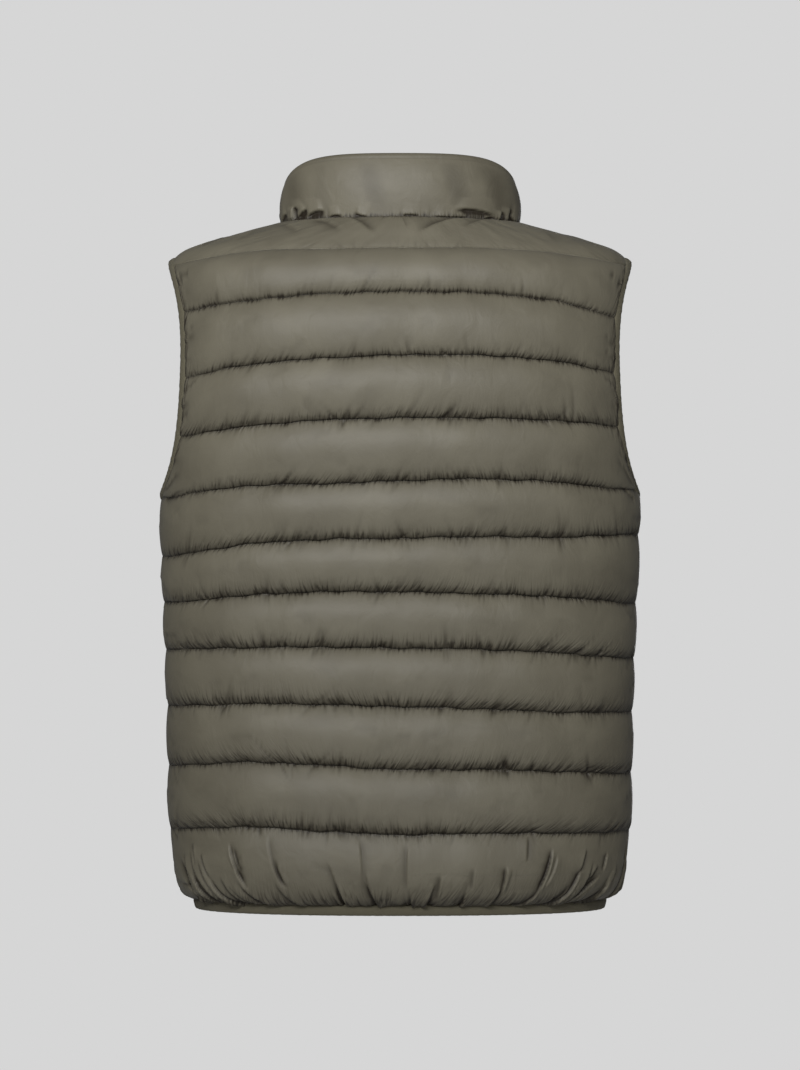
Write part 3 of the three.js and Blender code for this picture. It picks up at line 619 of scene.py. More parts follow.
def quilt_heights(base, channels, shares, arc, fade, seed):
    """The crowns' height, the puckers' height, how near the stitches are, the puckers' slant, and the run
    down the cloth, for every point of a panel."""
    drop = run_along(base)
    channel = channels[:, None] + np.zeros_like(arc)
    share = shares[:, None] + np.zeros_like(arc)
    height = crown(share, channel) * fade * quilt_mm("puff_out")
    height *= lumps(arc, channel, share, seed)
    fine, nearness, hatch = np.zeros_like(arc), np.zeros_like(arc), arc.copy()
    for number in np.unique(channels):
        here = np.nonzero(channels == number)[0]
        here = np.arange(here[0], min(here[-1] + 2, len(arc)))
        below = drop[here] - drop[here[0]]
        above = drop[here[-1]] - drop[here]
        middle = arc[here]
        upper, lower = LINE_STRENGTH[number], LINE_STRENGTH[number + 1]
        fine[here] += upper * line_puckers(seed * 100 + number, middle, below, False, number)
        fine[here] += lower * line_puckers(seed * 100 + number + 1, middle, above, True, number + 1)
        crinkled = CRINKLES_AND_SHADE_AT_HEM if number == BOTTOM_CHANNEL else CRINKLES_AND_SHADE_ABOVE * lower
        nearness[here] = np.maximum(np.exp(-below / CRINKLES_AND_SHADE_BELOW), np.exp(-above / crinkled))
        slant = np.where(above < below, -above * pucker_lean(middle, number + 1),
                         BELOW_LINE * below * pucker_lean(middle, number))
        hatch[here] = middle + slant
    dents(fine, arc, drop, channels, seed)
    calm = PUCKERS_AT_SIDE + (1 - PUCKERS_AT_SIDE) * np.clip(fade, 0, 1)
    return height, fine * calm, nearness, hatch, drop


def dents(field, arc, drop, channels, seed):
    """Long, shallow creases that lie askew across the crowns."""
    rng = np.random.default_rng(seed + 3000)
    for number in np.unique(channels):
        rows = np.nonzero(channels == number)[0]
        top, bottom = drop[rows[0]].mean(), drop[rows[-1]].mean()
        for _ in range(rng.integers(9, 15)):
            place = rng.uniform(arc.min() + 20, arc.max() - 20)
            level = top + (bottom - top) * rng.uniform(0.3, 0.85)
            length, tilt = rng.uniform(12, 40), rng.uniform(-0.9, 0.9)
            end = (place + length * math.cos(tilt), level + length * math.sin(tilt) * 0.5)
            crease(field, arc, drop, (place, level), end, rng.uniform(-4, 4), rng.uniform(0.2, 0.55),
                   rng.uniform(3.0, 6.0))


def lumps(arc, channel, share, seed):
    """Uneven filling: the crown's height along each channel, and a slight tilt of its fullness up or down."""
    total = np.ones_like(arc)
    for number in np.unique(channel):
        here = channel == number
        places = arc[here]
        phase = seed * 31 + int(number) * 17
        fuller = wobble(phase, places, (57, 89, 141, 233), 0.055)
        tilt = wobble(phase + 5, places, (43, 71, 127), 0.11) * (share[here] - 0.5)
        total[here] += fuller + tilt
    return total


def pucker_lean(places, line):
    """How far the puckers at these places lean, as a slope."""
    outwards_lean = np.sign(places) * LINE_LEAN[line] * np.abs(places / np.abs(places).max()) ** 0.7
    return outwards_lean + 0.2 + 0.35 * np.sin(places / 41.0 + 2.3 * line)


def line_puckers(seed, arc, away, above, line):
    """Puckers on one side of a line of stitches. Both sides of a line share their places."""
    depth = quilt_mm("pucker_depth")
    start, end = arc.min(), arc.max()
    places, rng = scatter(seed, start, end, (2.3, 5.8))
    count = len(places)
    lean = pucker_lean(places, line) + rng.normal(0, 0.35, count)
    reach = rng.gamma(3.5, 1.5, count) + 3.0
    deep = rng.uniform(0.4, 1.0, count) * depth
    width = rng.uniform(0.95, 1.5, count)
    extra, rng = scatter(seed + 500, start, end, (24, 110))
    extras = len(extra)
    places = np.concatenate([places, extra])
    lean = np.concatenate([lean, rng.normal(0, 0.6, extras)])
    reach = np.concatenate([reach, rng.uniform(7, 17, extras)])
    deep = np.concatenate([deep, rng.uniform(0.5, 1.0, extras) * depth])
    width = np.concatenate([width, rng.uniform(1.3, 2.1, extras)])
    deep *= np.clip(0.75 + wobble(seed // 2, places, (31, 53, 97), 0.75), 0.2, 1.5)
    if not above:
        lean, reach, deep = -lean * BELOW_LINE, reach * BELOW_LINE, deep * 0.8
    total = np.zeros_like(arc)
    middle = arc[len(arc) // 2]
    order = np.argsort(middle)
    sorted_arc = middle[order]
    for place, slope, length, deepest, across in zip(places, lean, reach, deep, width):
        spread = 3 * across + abs(slope) * 2 * length + 6
        low, high = np.searchsorted(sorted_arc, (place - spread, place + spread))
        if high <= low:
            continue
        part = order[low:high]
        off = away[:, part]
        spot = (arc[:, part] - place - slope * off) / (across * (1 + off / (2.5 * length)))
        dent = deepest * np.exp(-np.abs(spot) ** 1.4)
        total[:, part] -= dent * (1 - np.exp(-off / 0.9)) * np.exp(-((off / length) ** 2))
    return total


# The gathers above the hem on the back, one by one. Places are millimetres across and shares of the channel's
# height, from its upper line of stitches. bow is how far the crease curves to the right, and late how much
# of its depth it gains only towards its lower end.
GATHERS = named_rows("x0 t0 x1 t1 bow depth width late", [
    (-171, 0.18, -158, 0.68, -2, 0.80, 1.7, 0.3),
    (-166, 0.60, -127, 0.99, -6, 0.90, 1.7, 0.4),
    (-167, 0.24, -160, 0.52, -1, 0.40, 1.4, 0.2),
    (-132, 0.08, -119, 0.68, -3, 0.45, 2.1, 0.6),
    (-128, 0.60, -97, 0.99, -5, 0.55, 1.8, 0.3),
    (-124, 0.38, -114, 0.68, -2, 0.35, 1.6, 0.3),
    (-73, 0.36, -57, 1.00, 1, 1.00, 1.7, 0.7),
    (-67, 0.70, -61, 1.00, 0, 0.40, 1.3, 0.5),
    (-212, 0.26, -183, 0.97, -9, 0.60, 1.7, 0.2),
    (-204, 0.38, -170, 0.98, -8, 0.60, 1.7, 0.2),
    (-196, 0.55, -161, 0.99, -6, 0.50, 1.6, 0.2),
    (-183, 0.55, -160, 0.95, -4, 0.40, 1.6, 0.2),
    (-213, 0.52, -196, 0.96, -4, 0.50, 1.5, 0.0),
    (-218, 0.55, -203, 0.98, -4, 0.40, 1.4, 0.0),
    (-209, 0.18, -207, 0.42, 0, 0.35, 1.5, 0.0),
    (-190, 0.80, -150, 1.00, -2, 0.35, 1.4, 0.0),
    (-219, 0.30, -214, 0.62, -1, 0.35, 1.4, 0.0),
    (-200, 0.30, -193, 0.58, -1, 0.40, 1.5, 0.0),
    (-176, 0.66, -140, 1.00, -5, 0.45, 1.5, 0.2),
    (-222, 0.62, -208, 1.00, -2, 0.40, 1.4, 0.0),
    (-41, 0.05, -39, 0.60, 1, 0.22, 2.4, 0.0),
    (-40, 0.50, -23, 1.00, 2, 0.90, 1.6, 0.8),
    (-35, 0.48, -29, 0.82, 0, 0.30, 1.7, 0.0),
    (8, 0.08, 8, 0.72, -1, 0.24, 2.4, 0.0),
    (9, 0.55, 13, 1.00, 0, 0.75, 1.5, 0.9),
    (42, 0.50, 39, 0.84, 0, 0.35, 2.3, 0.0),
    (36, 0.60, 26, 1.00, 0, 0.95, 1.6, 0.7),
    (75, 0.42, 74, 0.70, 0, 0.25, 2.2, 0.0),
    (70, 0.58, 65, 1.00, 0, 0.85, 1.6, 0.8),
    (107, 0.40, 104, 0.74, 1, 0.55, 1.9, 0.0),
    (105, 0.64, 92, 0.99, 1, 0.95, 1.6, 0.5),
    (113, 0.42, 108, 0.74, 0, 0.25, 1.8, 0.0),
    (128, 0.05, 127, 0.36, 0, 0.28, 2.0, 0.0),
    (153, 0.18, 141, 0.74, 2, 0.90, 1.7, 0.2),
    (158, 0.26, 147, 0.66, 2, 0.35, 1.5, 0.0),
    (144, 0.68, 117, 0.99, 4, 0.50, 1.8, 0.0),
    (183, 0.38, 154, 0.98, 7, 0.60, 1.7, 0.2),
    (195, 0.36, 168, 0.98, 6, 0.60, 1.7, 0.2),
    (205, 0.52, 173, 0.95, -2, 0.50, 1.6, 0.0),
    (216, 0.58, 198, 0.98, 4, 0.45, 1.5, 0.0),
    (211, 0.74, 188, 0.99, 2, 0.40, 1.4, 0.0),
    (201, 0.40, 194, 0.58, 0, 0.35, 1.5, 0.0),
    (163, 0.76, 155, 1.00, 0, 0.50, 1.5, 0.4),
    (210, 0.25, 207, 0.48, 0, 0.30, 1.5, 0.0),
    (221, 0.40, 214, 0.80, 2, 0.35, 1.4, 0.0),
    (175, 0.62, 146, 1.00, 4, 0.45, 1.5, 0.2),
    (188, 0.20, 180, 0.52, 1, 0.35, 1.5, 0.0),
])
CORNER_X = 175.0  # beyond this the gathers crowd together and are deeper
CORNER_DEEPER = 1.4


def above_hem(arc, drop, top_row, place, share):
    """Where a share of the bottom channel's height is, at a place along the hem."""
    column = int(np.argmin(np.abs(arc[-1] - place)))
    return place, drop[top_row, column] * (1 - share) + drop[-1, column] * share


def back_gathers(height, arc, drop, top_row):
    """Presses the gathers into the bottom channel of the back."""
    rng = np.random.default_rng(17)
    for fold in GATHERS:
        start = above_hem(arc, drop, top_row, arc_at(fold["x0"]), fold["t0"])
        end = above_hem(arc, drop, top_row, arc_at(fold["x1"]), fold["t1"])
        deeper = CORNER_DEEPER if abs(fold["x0"]) > CORNER_X else 1
        depth = fold["depth"] * quilt_mm("gather_depth") * deeper
        gather(height, arc, drop, start, end, fold["bow"], depth, fold["width"], fold["t1"] == 1, rng,
               fold["late"])


def scattered_gathers(height, arc, drop, top_row, seed, places):
    """Gathers above the hem where it is out of sight from behind, of the same kinds as the back's."""
    rng = np.random.default_rng(seed)
    for place in places:
        middle = place + rng.uniform(-8, 8)
        upper, lower = rng.uniform(0.05, 0.5), rng.uniform(0.85, 1.0)
        lean = rng.uniform(-16, 16) - 0.05 * place
        start = above_hem(arc, drop, top_row, middle, upper)
        end = above_hem(arc, drop, top_row, middle + lean, lower)
        bow, depth = rng.uniform(-6, 6), rng.uniform(0.35, 0.9) * quilt_mm("gather_depth")
        gather(height, arc, drop, start, end, bow, depth, rng.uniform(1.8, 2.4), rng.random() < 0.4, rng)


def beside_armhole(nearness, arc, z, columns):
    """The seam mark, with its crinkles and its painted shade, runs along the armhole bindings too, at these
    end columns.
    """
    for column in columns:
        from_end = np.abs(arc - arc[:, column][:, None])
        dark = np.where(z > ARMHOLE_BOTTOM, np.exp(-np.maximum(from_end - 2.2, 0) / 4), 0)
        nearness[:] = np.maximum(nearness, dark)


def end_creases(height, arc, drop, channels, seed, armholes):
    """Short creases that run in from the side seams, the zip and the armholes, a few in each channel."""
    rng = np.random.default_rng(seed)
    for number in np.unique(channels):
        rows = np.nonzero(channels == number)[0]
        for column in (0, -1):
            top, bottom = drop[rows[0], column], drop[rows[-1], column]
            start = arc[rows[len(rows) // 2], column]
            edge = np.sign(start - arc[rows[0], arc.shape[1] // 2])
            if number < ARMHOLE_LINE and column in armholes:
                armhole_creases(height, arc, drop, start, edge, top, bottom, rng)
            if number < (ARMHOLE_LINE if column in armholes else 1):
                continue
            for _ in range(rng.integers(3, 6)):
                share = rng.uniform(0.12, 0.9)
                length = rng.uniform(14, 46)
                tilt = rng.normal(0, 0.2) + (0.3 if share > 0.5 else -0.3)
                origin = (start - edge * rng.uniform(8, 26), top + (bottom - top) * share)
                end = (origin[0] - edge * length, origin[1] + tilt * length)
                crease(height, arc, drop, origin, end, rng.uniform(-5, 5), rng.uniform(0.5, 1.4),
                       rng.uniform(1.3, 2.2))


def armhole_creases(height, arc, drop, start, edge, top, bottom, rng):
    """Creases that slant down to the armhole's binding, deepest where they meet it."""
    for share in (rng.uniform(0.3, 0.5), rng.uniform(0.52, 0.7), rng.uniform(0.72, 0.88)):
        length, slope = rng.uniform(12, 24), rng.uniform(0.7, 1.2)
        end = (start + edge * 2, top + (bottom - top) * share)
        origin = (start - edge * length, end[1] - slope * length)
        crease(height, arc, drop, origin, end, edge * rng.uniform(1, 4), rng.uniform(1.4, 2.3),
               rng.uniform(1.4, 2.0), True, 0.3)


FULL_CAVITY = 2.0  # depth of a fold that gets the full painted shade
THINNEST = 1.2  # no part of a panel's wall is thinner
BOTTOM_SAG = 0.3  # share of the sag in the bottom channel, which the hem holds up


def cavity_of(fine, nearness=0.0):
    """How deep in a crease each point lies, from 0 to 1, which sets the painted shade in folds. Beside the
    stitches the puckers count for less.
    """
    return np.clip(-fine / FULL_CAVITY, 0, 1) * (1 - 0.7 * nearness)


def build_panel(name, node, panel, arc, fade, seeds, places, armholes, material):
    """A quilted panel: its outer cloth, its lining and its edges, as one closed wall. seeds are for its
    puckers, its scattered gathers and the creases at its ends, and places are where those gathers go."""
    channels, shares, base = panel
    height, fine, nearness, hatch, drop = quilt_heights(base, channels, shares, arc, fade, seeds[0])
    bottom = channels == BOTTOM_CHANNEL
    top_row = int(np.nonzero(bottom)[0][0])
    if node == "back_panel":
        back_gathers(fine, arc, drop, top_row)
    scattered_gathers(fine, arc, drop, top_row, seeds[1], places)
    end_creases(fine, arc, drop, channels, seeds[2], armholes)
    soften_first_seam(nearness, fine, drop)
    beside_armhole(nearness, arc, base[..., 2], armholes)
    calm = np.where(bottom, 0, 1)[:, None] * nearness
    # Painted shade: seam and crease tell the material where to darken the colour, beside the stitches and in
    # folds; seam also brings the crinkles.
    marks = {"seam": nearness, "crease": cavity_of(fine, calm), "hatch": hatch * MM}
    height = hold_edges(height + fine)
    normals = normals_at(base)
    down = unit(np.gradient(base, axis=0))
    lower = np.where(bottom, BOTTOM_SAG, 1)[:, None] * sag(height, shares[:, None])
    depth = quilt_mm("seam_wall") + quilt_mm("puff_in") * (crown(shares[:, None], channels[:, None]) * fade)
    outer = base + normals * np.maximum(height, THINNEST - depth)[..., None] + down * lower[..., None]
    inner = base - normals * depth[..., None]
    uv = np.stack([arc, -drop], axis=-1)
    piece = closed_wall(name, outer, inner, inner_rows(channels), material, uv, marks)
    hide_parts(node)
    return piece


def spread_turns(turn, end_turn):
    """Angles for a row that ends short of the side: only its outer half is drawn in."""
    free = math.radians(45)
    size = np.abs(turn)
    share = np.clip((size - free) / (math.pi / 2 - free), 0, 1)
    return np.sign(turn) * np.where(size <= free, size, free + (end_turn - free) * share)


def side_points(channels, shares, side, facing):
    """Where each row of a panel ends: on the side seam, or beside the armhole."""
    z = np.array([side_z(channel, share, side) for channel, share in zip(channels, shares)])
    y = np.maximum(armhole_depth(z), SEWN_GAP) * facing
    return at_depth(y, z, side)


def back_base():
    """Points of the back's outer cloth at its seams' level, and their place round the torso."""
    channels, shares = channel_rows(0)
    turns = turn_at(np.linspace(-HALF_BACK, HALF_BACK, BACK_COLUMNS))
    base = np.empty((len(channels), len(turns), 3))
    real_turns = np.empty(base.shape[:2])
    for side, part in ((LEFT, turns < 0), (RIGHT, turns >= 0)):
        ends = side_points(channels, shares, side, -1)
        end_turns = np.abs(turn_of(ends))
        for r, (channel, share) in enumerate(zip(channels, shares)):
            row = spread_turns(turns[part], end_turns[r])
            x = on_torso(row, np.full_like(row, ends[r, 2]))[:, 0]
            base[r, part] = on_torso(row, row_z(channel, share, x))
            real_turns[r, part] = row
        base[:, 0 if side == LEFT else -1] = ends
    return (channels, shares, base), real_turns


def build_back(material):
    panel, turns = back_base()
    channels, shares, base = panel
    across = np.linspace(-HALF_BACK, HALF_BACK, BACK_COLUMNS)[None, :] / HALF_BACK
    fade = side_fade(across, base[..., 2], channels[:, None], shares[:, None])
    build_panel("back_cloth", "back_panel", panel, arc_of(turns), fade, (11, 5, 21),
                (-278, -252, -236, 238, 256, 276), (0, -1), material)


def soften_first_seam(nearness, fine, drop):
    """The yoke seam is flat and tight, with few puckers and little painted shade along it."""
    nearness *= 0.2 + 0.8 * smooth(drop / 8)
    fine *= 0.45 + 0.55 * smooth((drop - 6) / 14)


def steps_from_side(columns):
    """How many columns each one is from the nearer side of its grid."""
    return np.minimum(np.arange(columns), np.arange(columns)[::-1])


def hold_edges(height, keep=6):
    """Lowers the cloth to its seams along the panel's outer edges."""
    rows, columns = height.shape
    ease = smooth(steps_from_side(columns) / keep) * 0.75 + 0.25
    floor = np.minimum(height, 0.4)
    shallow = -0.5 - 0.7 * np.arange(rows)[::-1]
    return np.maximum(np.maximum(height * ease[None, :], floor), shallow[:, None])


# ---- Fronts --------------------------------------------------------------------------------------

BAND_ROWS = 32
BAND_PUFF = 0.8
FIRST_LINE_Z = float(row_z(1, 0, 0.0))  # the highest line of stitches, at the zip
ZIP_FLATTER, ZIP_FLATTER_REACH = 0.75, 8
FRONT_GATHERS = (338, 352, 381, 404, 431, 447, 482, 509, 533, 548, 571)


def from_front(point):
    """A point's angle round the torso, counted from the middle of the front."""
    return math.pi - abs(float(turn_of(point)))


def front_sizes():
    """Such angles from the zip round to the side, evenly spaced along the cloth."""
    start = on_front_edge(REFERENCE_Z)
    arcs = np.linspace(arc_of(math.pi - start), HALF_BACK, FRONT_COLUMNS)
    return math.pi - turn_at(arcs)


def on_front_edge(z):
    """The same angle for a front's edge beside the zip, at a height."""
    half_width, _, front, power = section(z)
    y = front * (1 - (FRONT_EDGE / half_width) ** power) ** (1 / power)
    return from_front(np.array([FRONT_EDGE, y, z]))


def front_row(sizes, start_z, end_size, end_z):
    """Angles and heights of a row that runs from beside the zip to a side."""
    start_size = on_front_edge(start_z)
    stretch = (math.pi / 2 - start_size) / (math.pi / 2 - sizes[0])
    row = spread_turns(start_size + (sizes - sizes[0]) * stretch, end_size)
    share = np.clip((row - start_size) / (end_size - start_size), 0, 1)
    return math.pi - row, start_z + (end_z - start_z) * smooth(share)


def shoulder_seam(shares):
    """The front shoulder seam on the right, from the neckline to the armhole."""
    y = SHOULDER_SEAM["armhole_y"]
    return over_shoulder(neck_point(SHOULDER_SEAM["neck_angle"]), at_depth(y, armhole_top(y), RIGHT), shares)


def band_rows(sizes, side):
    """Rows between the shoulder seam and the first line of stitches, as angles and heights."""
    first_end = side_points(np.array([1]), np.array([0.0]), side, 1)[0]
    seam_z = float(armhole_top(SHOULDER_SEAM["armhole_y"]))

    def plain(share):
        neck = neck_point(SHOULDER_SEAM["neck_angle"] * (1 - share) + NECK_FOOT * share)
        z = seam_z * (1 - share) + first_end[2] * share
        start_size, end_size = from_front(neck), from_front(at_depth(armhole_depth(z), z, RIGHT))
        turns = math.pi - (start_size + (end_size - start_size) * even)
        return turns, neck[2] + (z - neck[2]) * smooth(even)

    even = (sizes - sizes[0]) / (sizes[-1] - sizes[0])
    seam = shoulder_seam(even)
    seam_turns = turn_of(seam)
    first_turns, first_z = plain(0.0)
    last_turns, last_z = plain(1.0)
    line_turns, line_heights = front_row(sizes, FIRST_LINE_Z, from_front(first_end), first_end[2])
    rows = []
    for share in warp(np.arange(BAND_ROWS) / BAND_ROWS):
        turns, z = plain(share)
        top, low = (1 - share) ** 2, smooth(share) ** 2
        turns = turns + top * (seam_turns - first_turns) + low * (line_turns - last_turns)
        z = z + top * (seam[:, 2] - first_z) + low * (line_heights - last_z)
        rows.append((share, turns, z))
    return rows


def front_base(side):
    """Points of a front's outer cloth at its seams' level, and their place round the torso."""
    sizes = front_sizes()
    channels, shares = channel_rows(1)
    band = band_rows(sizes, side)
    ends = side_points(channels, shares, side, 1)
    turns = [row[1] for row in band]
    heights = [row[2] for row in band]
    for channel, share, end in zip(channels, shares, ends):
        row_turns, row_heights = front_row(sizes, float(row_z(channel, share, 0.0)), from_front(end), end[2])
        turns.append(row_turns)
        heights.append(row_heights)
    turns = np.array(turns)
    base = on_torso(turns, np.array(heights))
    base[..., 0] *= side
    base[len(band):, -1] = ends
    channels = np.concatenate([np.zeros(len(band), int), channels])
    shares = np.concatenate([[row[0] for row in band], shares])
    return (channels, shares, base), turns * side


def build_front(side, material):
    (channels, shares, base), turns = front_base(side)
    arc = arc_of(turns)
    across = np.linspace(0, 1, FRONT_COLUMNS)[None, :]
    fade = side_fade(across, base[..., 2], channels[:, None], shares[:, None])
    from_zip = np.maximum(np.abs(base[..., 0]) - FRONT_EDGE, 0)
    fade *= 1 - ZIP_FLATTER * np.exp(-from_zip / ZIP_FLATTER_REACH)
    fade[channels == 0] *= BAND_PUFF
    if side == LEFT:
        base, arc, fade = base[:, ::-1], arc[:, ::-1], fade[:, ::-1]
    name = SIDE_NAMES[side]
    places = [side * place for place in FRONT_GATHERS]
    armholes = (0,) if side == LEFT else (-1,)
    build_panel("front_cloth_" + name, "front_" + name, (channels, shares, base), arc, fade,
                (41 + side, 61 + side, 71 + side), places, armholes, material)


# ---- Yoke ----------------------------------------------------------------------------------------

YOKE_ROWS = 34
YOKE_INNER_ROWS = 9
OVER_COLUMNS = 44
YOKE_PAST = 1.1  # how far its outer edge reaches past the seam

# Soft creases that run down from the neckline behind, as places across and shares of the yoke's depth.
YOKE_CREASES = named_rows("x0 t0 x1 t1 bow depth width", [
    (-82, 0.02, -54, 0.52, 2, 2.0, 3.0),
    (-50, 0.02, -24, 0.60, 2, 2.2, 3.0),
    (-112, 0.10, -96, 0.55, 2, 1.4, 2.8),
    (59, 0.04, 17, 0.58, -3, 2.4, 3.2),
    (84, 0.02, 60, 0.45, -2, 1.7, 2.8),
    (2, 0.05, 6, 0.42, 0, 0.8, 3.0),
    (124, 0.25, 158, 0.72, -2, 1.0, 4.0),
    (-130, 0.30, -168, 0.70, 2, 1.0, 4.0),
    (178, 0.35, 206, 0.80, 0, 1.2, 3.4),
    (-180, 0.38, -207, 0.82, 0, 1.2, 3.4),
])


def yoke_base():
    """The yoke's outer cloth, a row at a time from the neckline out, and each row's share of the way."""
    (_, _, back), turns = back_base()
    behind, behind_turns = back[0], turns[0]
    over_share = np.arange(OVER_COLUMNS) / OVER_COLUMNS
    over_angles = SHOULDER_SEAM["neck_angle"] + (YOKE_BACK_ANGLE - SHOULDER_SEAM["neck_angle"]) * over_share
    edges, angles = [], []
    for side in (LEFT, RIGHT):
        end = behind[0] if side == LEFT else behind[-1]
        y = SHOULDER_SEAM["armhole_y"] + (end[1] - SHOULDER_SEAM["armhole_y"]) * over_share
        edges.append(at_depth(y, armhole_top(y), side))
        angles.append(side * over_angles)
    across = behind_turns / np.abs(behind_turns).max()
    edge = np.concatenate([edges[0], behind, edges[1][::-1]])
    angle = np.concatenate([angles[0], YOKE_BACK_ANGLE * across, angles[1][::-1]])
    inner = neck_point(angle)
    shares = warp(np.arange(YOKE_ROWS + 1) / YOKE_ROWS)
    base = np.array([over_shoulder(inner, edge, share) for share in shares])
    base[0], base[-1] = inner, edge
    base[-1] -= unit(base[-2] - base[-1]) * YOKE_PAST
    base[:, (0, -1), 1] -= SEAM_GAP
    return base, shares


def swell(share):
    """A rounded rise between two seams."""
    return np.clip(np.sin(np.pi * np.clip(share, 0, 1)), 0, 1) ** 0.55


def build_yoke(material):
    base, shares = yoke_base()
    rows, columns = base.shape[:2]
    run = run_along(base[-1])
    arc = (run - run[-1] / 2)[None, :] + np.zeros((rows, 1))
    drop = run_along(base)
    ends = np.minimum(1, 0.3 + steps_from_side(columns) / OVER_COLUMNS)[None, :]
    fade = swell(shares)[:, None] * ends
    height = piece_mm("yoke_puff") * fade * (1 + wobble(77, arc, (37, 61, 113), 0.1))
    height += wobble(83, arc + 0.6 * drop, (19, 29, 47), 0.16) * fade
    fine = np.zeros_like(height)
    in_front = 1000 * (base[-1, :, 1] > 0)
    for fold in YOKE_CREASES:
        places = []
        for across, share in ((fold["x0"], fold["t0"]), (fold["x1"], fold["t1"])):
            at = int(np.argmin(np.abs(base[int(share * YOKE_ROWS), :, 0] - across) + in_front))
            places.append((arc[0, at], drop[-1, at] * share))
        crease(fine, arc, drop, places[0], places[1], fold["bow"], fold["depth"], fold["width"])
    to_edge = drop[-1][None, :] - drop
    at_neck = line_puckers(901, arc, drop, False, 0) * 0.35
    at_edge = line_puckers(902, arc, to_edge, True, 0) * 0.2
    fine += (at_neck + at_edge) * ends
    # The seam allowance stands up a little under the outer edge.
    height = hold_edges(height + fine, 3) + 0.9 * np.exp(-((to_edge / 1.6) ** 2))
    normals = normals_at(base)
    outer = base + normals * height[..., None]
    inner = base - normals * (quilt_mm("seam_wall") + 0.45 * quilt_mm("puff_in") * fade)[..., None]
    # Painted shade: seam darkens the cloth below the neckline seam, and crease darkens it in its folds.
    marks = {"seam": np.exp(-drop / CRINKLES_AND_SHADE_BELOW), "crease": cavity_of(fine), "hatch": arc * MM}
    kept = np.unique(np.round(np.linspace(0, rows - 1, YOKE_INNER_ROWS)).astype(int))
    uv = np.stack([arc, -drop], axis=-1)
    piece = closed_wall("yoke_cloth", outer, inner, kept, material, uv, marks)
    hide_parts("yoke")


# ---- Collar --------------------------------------------------------------------------------------

COLLAR = {"top_half_width": 113.0, "top_back": 62.0, "top_front": 90.0, "top_z": 60.0, "front_drop": 68.0,
          "side_drop": 2.0, "seam_wall": 4.0, "lean_power": 3.2, "stand_proud": 2.2, "foot_rise": -1.6}
COLLAR_COLUMNS = 470
COLLAR_OUTER, COLLAR_TOP, COLLAR_INNER = 44, 12, 24
# The rows' spacing runs on past the top by this factor, so that they crowd together only at the foot.
COLLAR_ROWS_PAST = 1.18
# How strongly the collar's folds are darkened with painted shade.
COLLAR_FOLD_PAINTED_SHADE = 1.8
COLLAR_RIM_PAINTED_SHADE = 0.14  # painted shade: the rolled edge is a little darker, against the light that it catches

# Folds pressed into the collar just above its seam: angle round the neck, millimetres up at both ends, how
# far the fold runs on round the neck, how far it curves, depth and width.
COLLAR_FOLDS = named_rows("angle low high run bow depth width", [
    (-62, 1, 15, 1, 0, 6.5, 2.2),
    (-58, 3, 12, 12, 1, 4.0, 2.2),
    (-50, 4, 9, 19, 2, 4.4, 2.4),
    (-36, 2.5, 3.5, 13, 1, 2.8, 2.0),
    (-22, 6, 1.5, 13, -1, 3.0, 2.0),
    (1, 2.5, 2, 17, 1, 2.0, 2.0),
    (16, 2, 2.5, 34, -1, 3.6, 2.0),
    (27, 9, 4, 47, 3, 3.6, 2.2),
    (44, 1, 3, 12, 1, 2.4, 2.0),
    (56, 1, 10, 2, 0, 5.5, 2.2),
    (64, 0, 14, 3, 0, 2.6, 2.4),
    (-80, 0, 9, 14, 2, 2.6, 2.3),
    (78, 0, 8, -16, 2, 2.7, 2.3),
    (-101, 1, 8, 19, 2, 2.6, 2.3),
    (99, 0, 7, 15, -2, 2.4, 2.2),
    (-126, 0, 8, 16, 2, 2.4, 2.2),
    (122, 0, 7, -14, 2, 2.6, 2.3),
    (-148, 1, 6, 18, -2, 2.2, 2.1),
    (147, 0, 9, 12, 2, 2.3, 2.2),
    (-165, 0, 6, 8, 1, 1.6, 2.0),
    (164, 0, 7, 8, 1, 1.7, 2.0),
])


def collar_top(angle):
    """The collar's top edge, which slopes down towards the zip."""
    turn = np.radians(angle)
    y = -np.cos(turn) * np.where(np.cos(turn) > 0, COLLAR["top_back"], COLLAR["top_front"])
    turned = ((1 - np.cos(turn)) / 2) ** 2
    drop = COLLAR["front_drop"] * COLLAR["side_drop"] * turned / (1 + (COLLAR["side_drop"] - 1) * turned)
    return np.stack([COLLAR["top_half_width"] * np.sin(turn), y, COLLAR["top_z"] - drop], axis=-1)


def collar_point(angle, share):
    """The collar's outer face: upright at its seam, leaning in above it."""
    foot, top = neck_point(angle), collar_top(angle)
    lean = share ** COLLAR["lean_power"]
    z = foot[..., 2] + COLLAR["foot_rise"] + (top[..., 2] - foot[..., 2] - COLLAR["foot_rise"]) * share
    x = foot[..., 0] + (top[..., 0] - foot[..., 0]) * lean
    y = foot[..., 1] + (top[..., 1] - foot[..., 1]) * lean
    return np.stack([x, y, z], axis=-1)


def neck_outward(angle):
    turn = np.radians(angle)
    depth = np.where(np.cos(turn) > 0, NECK["back"], NECK["front"])
    return unit(np.stack([np.sin(turn) / NECK["half_width"], -np.cos(turn) / depth, 0 * turn], axis=-1))


def collar_angles():
    """Angles round the neck from one front edge to the other, evenly spaced along the collar."""
    trial = np.linspace(-NECK_FOOT, NECK_FOOT, 2001)
    run = run_along(collar_point(trial, np.full_like(trial, 0.4)))
    even = np.linspace(0, run[-1], COLLAR_COLUMNS)
    return np.interp(even, run, trial), even - run[-1] / 2


